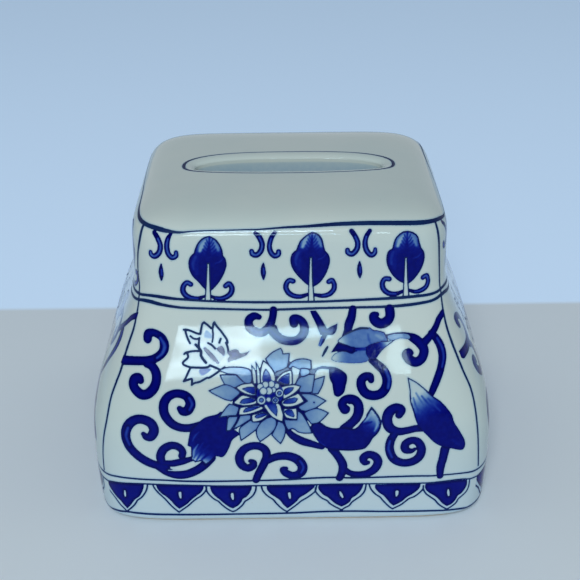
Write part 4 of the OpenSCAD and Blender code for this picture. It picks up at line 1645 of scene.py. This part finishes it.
def grid_piece(
    name: str, points: Array, normals: Array, chart: Array, wrap: bool = False,
    numbers: dict[str, Array] | None = None,
) -> bpy.types.Object:
    """Makes a mesh of four-sided faces from a grid of points.

    Args:
        name: The piece's name.
        points: Places in millimetres: rows go up or inwards, and columns anticlockwise.
        normals: Outward directions at the points.
        chart: Flat places of the points, with one more column than they have where it wraps.
        wrap: Whether the last column joins the first.
        numbers: Numbers to keep on the vertices, by name.

    Returns:
        The object, at the origin.
    """
    rows, columns = points.shape[:2]
    index = np.arange(rows * columns).reshape(rows, columns)
    index = np.concatenate((index, index[:, :1]), axis=1) if wrap else index
    loops = cell_corners(index).reshape(-1).astype(np.int32)
    faces = loops.size // 4
    mesh = bpy.data.meshes.new(name)
    mesh.vertices.add(rows * columns)
    mesh.vertices.foreach_set("co", (points * MM).astype(np.float32).ravel())
    mesh.loops.add(loops.size)
    mesh.loops.foreach_set("vertex_index", loops)
    mesh.polygons.add(faces)
    mesh.polygons.foreach_set("loop_start", np.arange(0, loops.size, 4, dtype=np.int32))
    layer = mesh.uv_layers.new(name="OFBake")
    layer.data.foreach_set("uv", cell_corners(chart).astype(np.float32).ravel())
    for key, values in (numbers or {}).items():
        kept = mesh.attributes.new(key, "FLOAT", "POINT")
        kept.data.foreach_set("value", values.astype(np.float32).ravel())
    mesh.update(calc_edges=True)
    mesh.validate()
    mesh.shade_smooth()
    mesh.normals_split_custom_set_from_vertices(normals.reshape(-1, 3).tolist())
    piece = bpy.data.objects.new(name, mesh)
    bpy.context.scene.collection.objects.link(piece)
    return piece


def dress(piece: bpy.types.Object, finish: bpy.types.Material, node: Node) -> None:
    """Gives a piece its finish, its body and the solid that it stands for.

    Args:
        piece: The piece.
        finish: Its material.
        node: The solid it replaces.
    """
    piece.data.materials.append(finish)
    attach(piece, BODY)
    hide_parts(node.value)
    log.info("%s: %d faces", piece.name, len(piece.data.polygons))


def even_chart(rows: int, columns: int) -> Array:
    """Returns flat places that spread rows and columns evenly over the whole square."""
    across, up = np.meshgrid(np.linspace(0, 1, columns), np.linspace(0, 1, rows))
    return np.stack((across, up), axis=-1)


def grid_normals(points: Array) -> Array:
    """Returns outward directions of a grid that wraps round, from its neighbours' steps."""
    along = np.roll(points, -1, axis=1) - np.roll(points, 1, axis=1)
    return unit(np.cross(along, np.gradient(points, axis=0)))


@dataclass(frozen=True)
class Band:
    """One band of the wall: its name, its heights, and how many rows it has."""

    name: str
    low_z: float
    high_z: float
    rows: int


@dataclass
class OuterWall:
    """The glazed outside, in three bands on each side, which meet near painted lines."""

    sizes: ShellSizes
    surface: SideSurface
    decoration: Decoration
    columns: int = 440
    hem_top_z: float = 26.4
    waist_z: float = 108.9

    def bands(self) -> tuple[Band, ...]:
        """Returns the bands from the foot up."""
        return (
            Band("hem_band", self.sizes.shell_z, self.hem_top_z, 76),
            Band("lotus_panel", self.hem_top_z, self.waist_z, 206),
            Band("neck_band", self.waist_z, self.sizes.cap_edge_z, 110),
        )

    def build(self, finish: bpy.types.Material) -> None:
        """Makes every band on every side.

        Args:
            finish: The painted glaze.
        """
        for band in self.bands():
            ends = (self.surface.length_at(band.low_z), self.surface.length_at(band.high_z))
            share, length = np.meshgrid(
                np.linspace(-1, 1, self.columns + 1), np.linspace(*ends, band.rows + 1))
            points = self.surface.points(share, length)
            normals = self.surface.normals(share, length)
            painted = {face: self.decoration.paint(share, length, face) for face in Face}
            for side in Side:
                sheet = painted[Face.ENDS if side.value % 2 else Face.FRONT_AND_BACK]
                numbers = {"paint_edge": sheet.edge, "ink_edge": sheet.ink,
                           "wash_tone": sheet.tone, "fine_line": sheet.fine}
                piece = grid_piece(
                    f"{band.name}_{side.name.lower()}", quarter_turn(points, side.value),
                    quarter_turn(normals, side.value), even_chart(*share.shape),
                    numbers=numbers)
                dress(piece, finish, Node.SHELL)


@dataclass
class Cap:
    """The top, the rolled lip of the slot, and the inside of the shell."""

    sizes: ShellSizes
    columns: int = 440
    ring_width: float = 1.1

    def ring(self, half: float, power: float, step: int = 1) -> Array:
        """Returns the rounded square's outline all the way round, as x and y."""
        share = np.linspace(-1, 1, self.columns // step + 1)[:-1]
        x, y = self.sizes.outline(np.float64(half), np.float64(power), share)
        side = np.stack((x, y, np.zeros_like(x)), axis=-1)
        return np.concatenate([quarter_turn(side, turn.value) for turn in Side])[:, :2]

    def oval(self, axes: Array, step: int = 1) -> Array:
        """Returns an oval round the slot, with a point in the direction of each of the ring's."""
        ring = self.ring(1.0, self.sizes.neck_squareness, step)
        length = superellipse_length(ring[:, 0], ring[:, 1], self.sizes.slot_squareness)
        return ring / length[:, None] * axes

    def height(self, plan: Array, half: float, rise: float) -> Array:
        """Returns the cap's height over places in plan."""
        reach = superellipse_length(plan[..., 0], plan[..., 1], self.sizes.neck_squareness)
        return self.sizes.cap_height(reach / half, rise)

    def fan(self, half: float, rise: float, axes: Array, shares: Array, step: int = 1) -> Array:
        """Spans the cap between the square's edge and the slot's oval.

        Each point is a mix of the two outlines by its row's share, lifted to the cap's height.

        Args:
            half: Half the width that the cap is measured from.
            rise: How far that cap rises.
            axes: Half axes of the oval.
            shares: One share for each row, 0 at the square.
            step: How many of the columns to step over.

        Returns:
            Places in millimetres.
        """
        outer = self.ring(half * self.sizes.cap_reach_share, self.sizes.neck_squareness, step)
        mixed = outer + shares[:, None, None] * (self.oval(axes, step) - outer)
        return np.concatenate((mixed, self.height(mixed, half, rise)[..., None]), axis=-1)

    def cap_normals(self, points: Array) -> Array:
        """Gives the cap's outward direction, from the slope of its height to either side."""
        half, rise = self.sizes.neck_half, self.sizes.cap_h
        small = 0.05
        slopes = [
            (self.height(points[..., :2] + d, half, rise)
             - self.height(points[..., :2] - d, half, rise)) / (2 * small)
            for d in (np.array((small, 0)), np.array((0, small)))
        ]
        return unit(np.stack((-slopes[0], -slopes[1], np.ones_like(slopes[0])), axis=-1))

    def top(self) -> tuple[Array, Array]:
        """Returns the places and directions of the flat top, with close rows at the slot."""
        shares = np.concatenate((np.linspace(0, 0.93, 16)[:-1], np.linspace(0.93, 1, 8)))
        sizes = self.sizes
        points = self.fan(sizes.neck_half, sizes.cap_h, sizes.crest_axes, shares)
        return points, self.cap_normals(points)

    def lip(self) -> tuple[Array, Array]:
        """Carries the lip's profile round the slot.

        The profile falls away in a quarter of an ellipse, drops straight, rounds its lower edge
        and runs back under to the inside of the cap.

        Returns:
            Places and outward directions.
        """
        sizes = self.sizes
        edge = 1.3
        turn = np.linspace(0, math.pi / 2, 13)
        under = np.linspace(0, math.pi / 2, 6)
        crest = self.height(self.oval(sizes.crest_axes), sizes.neck_half, sizes.cap_h)
        inner = self.height(self.oval(sizes.slot_axes + sizes.wall),
                            sizes.neck_half - sizes.wall, sizes.cap_h - sizes.wall)
        foot = sizes.rim_z + edge
        roll_end = crest - sizes.lip_fall
        rows: list[tuple[float, Array]] = [
            (sizes.lip_reach * (1 - math.sin(t)), crest - sizes.lip_fall * (1 - math.cos(t)))
            for t in turn]
        rows += [(0.0, roll_end + (foot - roll_end) * s) for s in (0.35, 0.7)]
        rows += [(edge * (1 - math.cos(t)), np.full_like(crest, foot - edge * math.sin(t)))
                 for t in under]
        rows += [(sizes.wall - edge * (1 - math.sin(t)),
                  np.full_like(crest, foot - edge * math.cos(t))) for t in under]
        rows += [(sizes.wall, foot + (inner - foot) * s) for s in (0.4, 0.75, 1.0)]
        points = np.stack([
            np.concatenate((self.oval(sizes.slot_axes + out), z[:, None]), axis=1)
            for out, z in rows])
        normals = grid_normals(points)
        blend = np.clip(1 - np.arange(len(points)) / 5, 0, 1)[:, None, None]
        crest_normals = self.cap_normals(points[:1])
        return points, unit(normals + (crest_normals - normals) * blend**2)

    def inside(self) -> tuple[Array, Array]:
        """Carries the shell's inner profile round: under the cap, down the neck, to the foot.

        Returns:
            Places and directions, which face the space inside.
        """
        sizes, step = self.sizes, 2
        half, rise = sizes.neck_half - sizes.wall, sizes.cap_h - sizes.wall
        start = float(sizes.cap_height(np.array(sizes.cap_reach_share), rise))
        rows = list(self.fan(half, rise, sizes.slot_axes + sizes.wall, np.linspace(1, 0, 9), step))
        power = sizes.cap_squareness
        for z in np.linspace(start, sizes.shoulder_z, 11)[1:]:
            reach = (1 - ((z - sizes.shoulder_z) / rise) ** power) ** (1 / power)
            rows.append(self.level(half * reach, sizes.neck_squareness, z, step))
        for z in np.linspace(sizes.shoulder_z, sizes.shell_z + sizes.foot_round, 34)[1:]:
            width = float(sizes.wall_half(np.array(z))) - sizes.wall
            rows.append(self.level(width, float(sizes.squareness(np.array(z))), z, step))
        out = float(sizes.wall_half(np.array(sizes.shell_z)))
        into = out - sizes.foot_ring_w
        rows.append(self.level(into, sizes.belly_squareness, sizes.shell_z, step))
        points = np.stack(rows)
        return points, grid_normals(points)

    def level(self, half: float, power: float, z: float, step: int) -> Array:
        """Returns one level ring of the rounded square, as places."""
        plan = self.ring(half, power, step)
        return np.concatenate((plan, np.full((len(plan), 1), z)), axis=1)

    def build(self, painted: bpy.types.Material, plain: bpy.types.Material) -> None:
        """Makes the cap's pieces.

        Args:
            painted: The glaze with painting.
            plain: The glaze without.
        """
        top, lip = self.top(), self.lip()
        plan = np.concatenate((top[0], top[0][:, :1]), axis=1)[..., :2]
        pieces = (
            ("cap_top", top, plan / (2.04 * self.sizes.neck_half) + 0.5, top[0][-1]),
            ("slot_lip", lip, None, lip[0][0]),
            ("inside_wall", self.inside(), None, None),
        )
        for name, (points, normals), chart, crest in pieces:
            if chart is None:
                chart = even_chart(len(points), points.shape[1] + 1)
            numbers = None if crest is None else self.ring_line(points, crest)
            piece = grid_piece(name, points, normals, chart, True, numbers)
            dress(piece, plain if crest is None else painted, Node.SHELL)

    def ring_line(self, points: Array, crest: Array) -> dict[str, Array]:
        """Gives each point's distance to the fine line painted round the slot, and a painted shade in
        it.

        Args:
            points: Places.
            crest: The line's own places, one for each column.

        Returns:
            The numbers that the painted glaze reads.
        """
        swell = 0.75 + 0.8 * (crest[:, 0] / crest[:, 0].max()) ** 4
        gap = np.linalg.norm(points - crest, axis=-1) - self.ring_width / 2 * swell
        depth = crest[:, 2] - points[..., 2] - self.sizes.lip_fall
        inside = np.hypot(points[..., 0], points[..., 1]) < np.hypot(crest[:, 0], crest[:, 1]) - 1
        # Painted shade deepening down the slot's inner face, with glaze also pooled thicker there
        painted_slot_shade = np.where(inside, np.clip(depth / 3, 0, 1), 0)
        return {
            "paint_edge": np.minimum(gap, 0.9 - 2 * painted_slot_shade), "ink_edge": gap,
            "wash_tone": 0.065 * painted_slot_shade, "fine_line": np.ones_like(gap)}


@dataclass
class FootRing:
    """The bare ring that the cover stands on, with its edges worn round."""

    sizes: ShellSizes
    cap: Cap
    worn: float = 0.45

    def build(self, finish: bpy.types.Material) -> None:
        """Makes the ring: a closed profile with two rounded lower corners, carried round.

        Args:
            finish: Bare clay.
        """
        sizes = self.sizes
        out = float(sizes.wall_half(np.array(sizes.shell_z)))
        into = out - sizes.foot_ring_w
        turn = np.linspace(0, math.pi / 2, 5)
        profile = [(out - self.worn * (1 - math.sin(t)), self.worn * (1 - math.cos(t)))
                   for t in turn]
        profile += [(out, sizes.foot_ring_h), (into, sizes.foot_ring_h)]
        profile += [(into + self.worn * (1 - math.cos(t)), self.worn * (1 - math.sin(t)))
                    for t in turn]
        profile.append(profile[0])
        points = np.stack([
            self.cap.level(half, sizes.belly_squareness, z, 2) for half, z in profile])
        chart = even_chart(len(points), points.shape[1] + 1)
        piece = grid_piece("foot_ring", points, grid_normals(points), chart, True)
        dress(piece, finish, Node.FOOT)


@dataclass(frozen=True)
class Softbox:
    """A flat soft lamp that faces the cover. Angles are in degrees and lengths in metres."""

    name: str
    azimuth: float
    elevation: float
    distance: float
    width: float
    height: float
    power: float
    colour: Colour

    def build(self) -> None:
        """Makes the lamp."""
        data = bpy.data.lights.new(self.name, "AREA")
        data.shape = "RECTANGLE"
        data.size, data.size_y = self.width, self.height
        data.energy, data.color = self.power, self.colour
        lamp = bpy.data.objects.new(self.name, data)
        a, e = math.radians(self.azimuth), math.radians(self.elevation)
        back = np.array((math.sin(a) * math.cos(e), -math.cos(a) * math.cos(e), math.sin(e)))
        right = unit(np.cross((0.0, 0.0, 1.0), back))
        turn = Matrix(np.column_stack((right, np.cross(back, right), back)).tolist()).to_4x4()
        middle = np.array((0.0, 0.0, LAMP_AIM_Z)) + back * self.distance
        lamp.matrix_world = Matrix.Translation(middle.tolist()) @ turn
        lamp.visible_camera = False
        bpy.context.scene.collection.objects.link(lamp)


@dataclass(frozen=True)
class Studio:
    """The pale floor, the soft lamps and the even light all round.

    The window is a wide left pane with a brighter bar and a top light, a low middle pane and a
    right pane, which the flare mirrors. The air is brighter overhead and behind, as in a room
    with a pale wall.
    """

    half: float = 20.0
    cloth: Colour = (0.72, 0.825, 0.935)
    crumpled: Colour = (0.74, 0.84, 0.93)
    edge_cloth: Colour = (0.40, 0.47, 0.53)
    wall: Colour = (0.50, 0.66, 0.82)
    wall_glow: Colour = (0.18, 0.24, 0.345)
    turn_y: float = 0.1615
    air: Colour = (0.88, 0.95, 1.0)
    air_low: float = 0.17
    air_level: float = 0.16
    air_high: float = 0.37
    air_behind: float = 0.36
    lamps: tuple[Softbox, ...] = (
        Softbox("left_pane", -7.05, 21.5, 5.0, 0.866, 0.489, 40.0, (1.0, 0.97, 0.83)),
        Softbox("left_top", -7.05, 25.5, 5.0, 0.866, 0.14, 11.0, (1.0, 0.97, 0.83)),
        Softbox("bright_bar", -7.05, 22.9, 5.0, 0.866, 0.045, 3.4, (1.0, 0.98, 0.9)),
        Softbox("middle_pane", 0.0, 20.9, 5.0, 0.366, 0.297, 9.2, (0.8, 1.0, 1.0)),
        Softbox("right_pane", 8.35, 22.18, 5.0, 0.39, 0.389, 9.37, (0.93, 1.0, 0.82)),
        Softbox("ceiling", -5.0, 37.5, 2.2, 0.5, 0.24, 14.0, (1.0, 0.98, 0.95)),
    )

    def build(self) -> None:
        """Makes the floor, the lamps and the world."""
        self.floor()
        for lamp in self.lamps:
            lamp.build()
        self.world()

    def floor(self) -> None:
        """Lays the floor, paler blue beyond the cloth's far edge."""
        reach = np.linspace(-self.half, self.half, 3)
        x, y = np.meshgrid(reach, reach)
        points = np.stack((x, y, np.zeros_like(x)), axis=-1)
        faces = cell_corners(np.arange(x.size).reshape(x.shape))
        mesh = bpy.data.meshes.new("floor")
        mesh.from_pydata(points.reshape(-1, 3).tolist(), [], faces.reshape(-1, 4).tolist())
        floor = bpy.data.objects.new("floor", mesh)
        bpy.context.scene.collection.objects.link(floor)
        sheet = Finish("pale_floor")
        split = sheet.add("ShaderNodeSeparateXYZ", sheet.place)
        far = sheet.spread(split.outputs[1], self.turn_y - 0.003, self.turn_y + 0.004, 0.0, 1.0)
        crumple = sheet.spread(sheet.noise(9.0, 3.0), 0.3, 0.7, 0.0, 0.3)
        cloth = sheet.mix(crumple, (*self.cloth, 1), (*self.crumpled, 1))
        near = sheet.spread(split.outputs[1], -1.1, -0.2, 0.0, 1.0)
        cloth = sheet.mix(near, (*self.edge_cloth, 1), cloth)
        sheet.wire(sheet.mix(far, cloth, (*self.wall, 1)), "Base Color")
        path = sheet.add("ShaderNodeLightPath").outputs
        mirrored = sheet.math("MAXIMUM", path["Is Glossy Ray"], path["Is Transmission Ray"])
        seen = sheet.math("MAXIMUM", path["Is Camera Ray"], mirrored)
        distant = sheet.spread(split.outputs[1], self.turn_y, 1.3, 1.0, 0.8)
        dark = (0, 0, 0, 1)
        wall = sheet.mix(distant, dark, (*self.wall_glow, 1))
        sheet.wire(sheet.mix(far, dark, wall), "Emission Color")
        sheet.wire(seen, "Emission Strength")
        sheet.shader.inputs["Roughness"].default_value = 0.9
        sheet.shader.inputs["Specular IOR Level"].default_value = 0.1
        mesh.materials.append(sheet.material)

    def world(self) -> None:
        """Fills the air with cool light by its direction: overhead, behind and near level."""
        world = bpy.data.worlds.new("soft_air")
        sheet = NodeSheet(world)
        back = sheet.tree.nodes["Background"]
        back.inputs[0].default_value = (*self.air, 1)
        place = sheet.add("ShaderNodeTexCoord").outputs["Generated"]
        _, y, z = sheet.add("ShaderNodeSeparateXYZ", place).outputs
        high = sheet.spread(z, 0.3, 0.75, self.air_low, self.air_high)
        low = sheet.spread(z, 0.3, 0.75, 1.0, 0.0)
        behind = sheet.spread(y, -0.1, 0.6, 0.0, self.air_behind)
        level = sheet.spread(z, 0.0, 0.28, self.air_level, 0.0)
        air = sheet.math("ADD", sheet.math("MULTIPLY_ADD", behind, low, high), level)
        sheet.tree.links.new(air, back.inputs[1])
        bpy.context.scene.world = world


def main() -> None:
    """Builds the cover and the studio."""
    logging.basicConfig(level=logging.INFO, format="%(name)s: %(message)s")
    sizes = ShellSizes()
    camera = PhotoCamera()
    surface = SideSurface(sizes)
    painted = Glaze("painted_glaze", painted=True).build()
    plain = Glaze("plain_glaze", painted=False, gloss=0.16).build()
    OuterWall(sizes, surface, Decoration(Tracer(surface, camera))).build(painted)
    cap = Cap(sizes)
    cap.build(painted, plain)
    FootRing(sizes, cap).build(BareClay().build())
    Studio().build()
    camera.build()
    bpy.context.scene.view_settings.view_transform = "Standard"


if __name__ == "__main__":
    main()
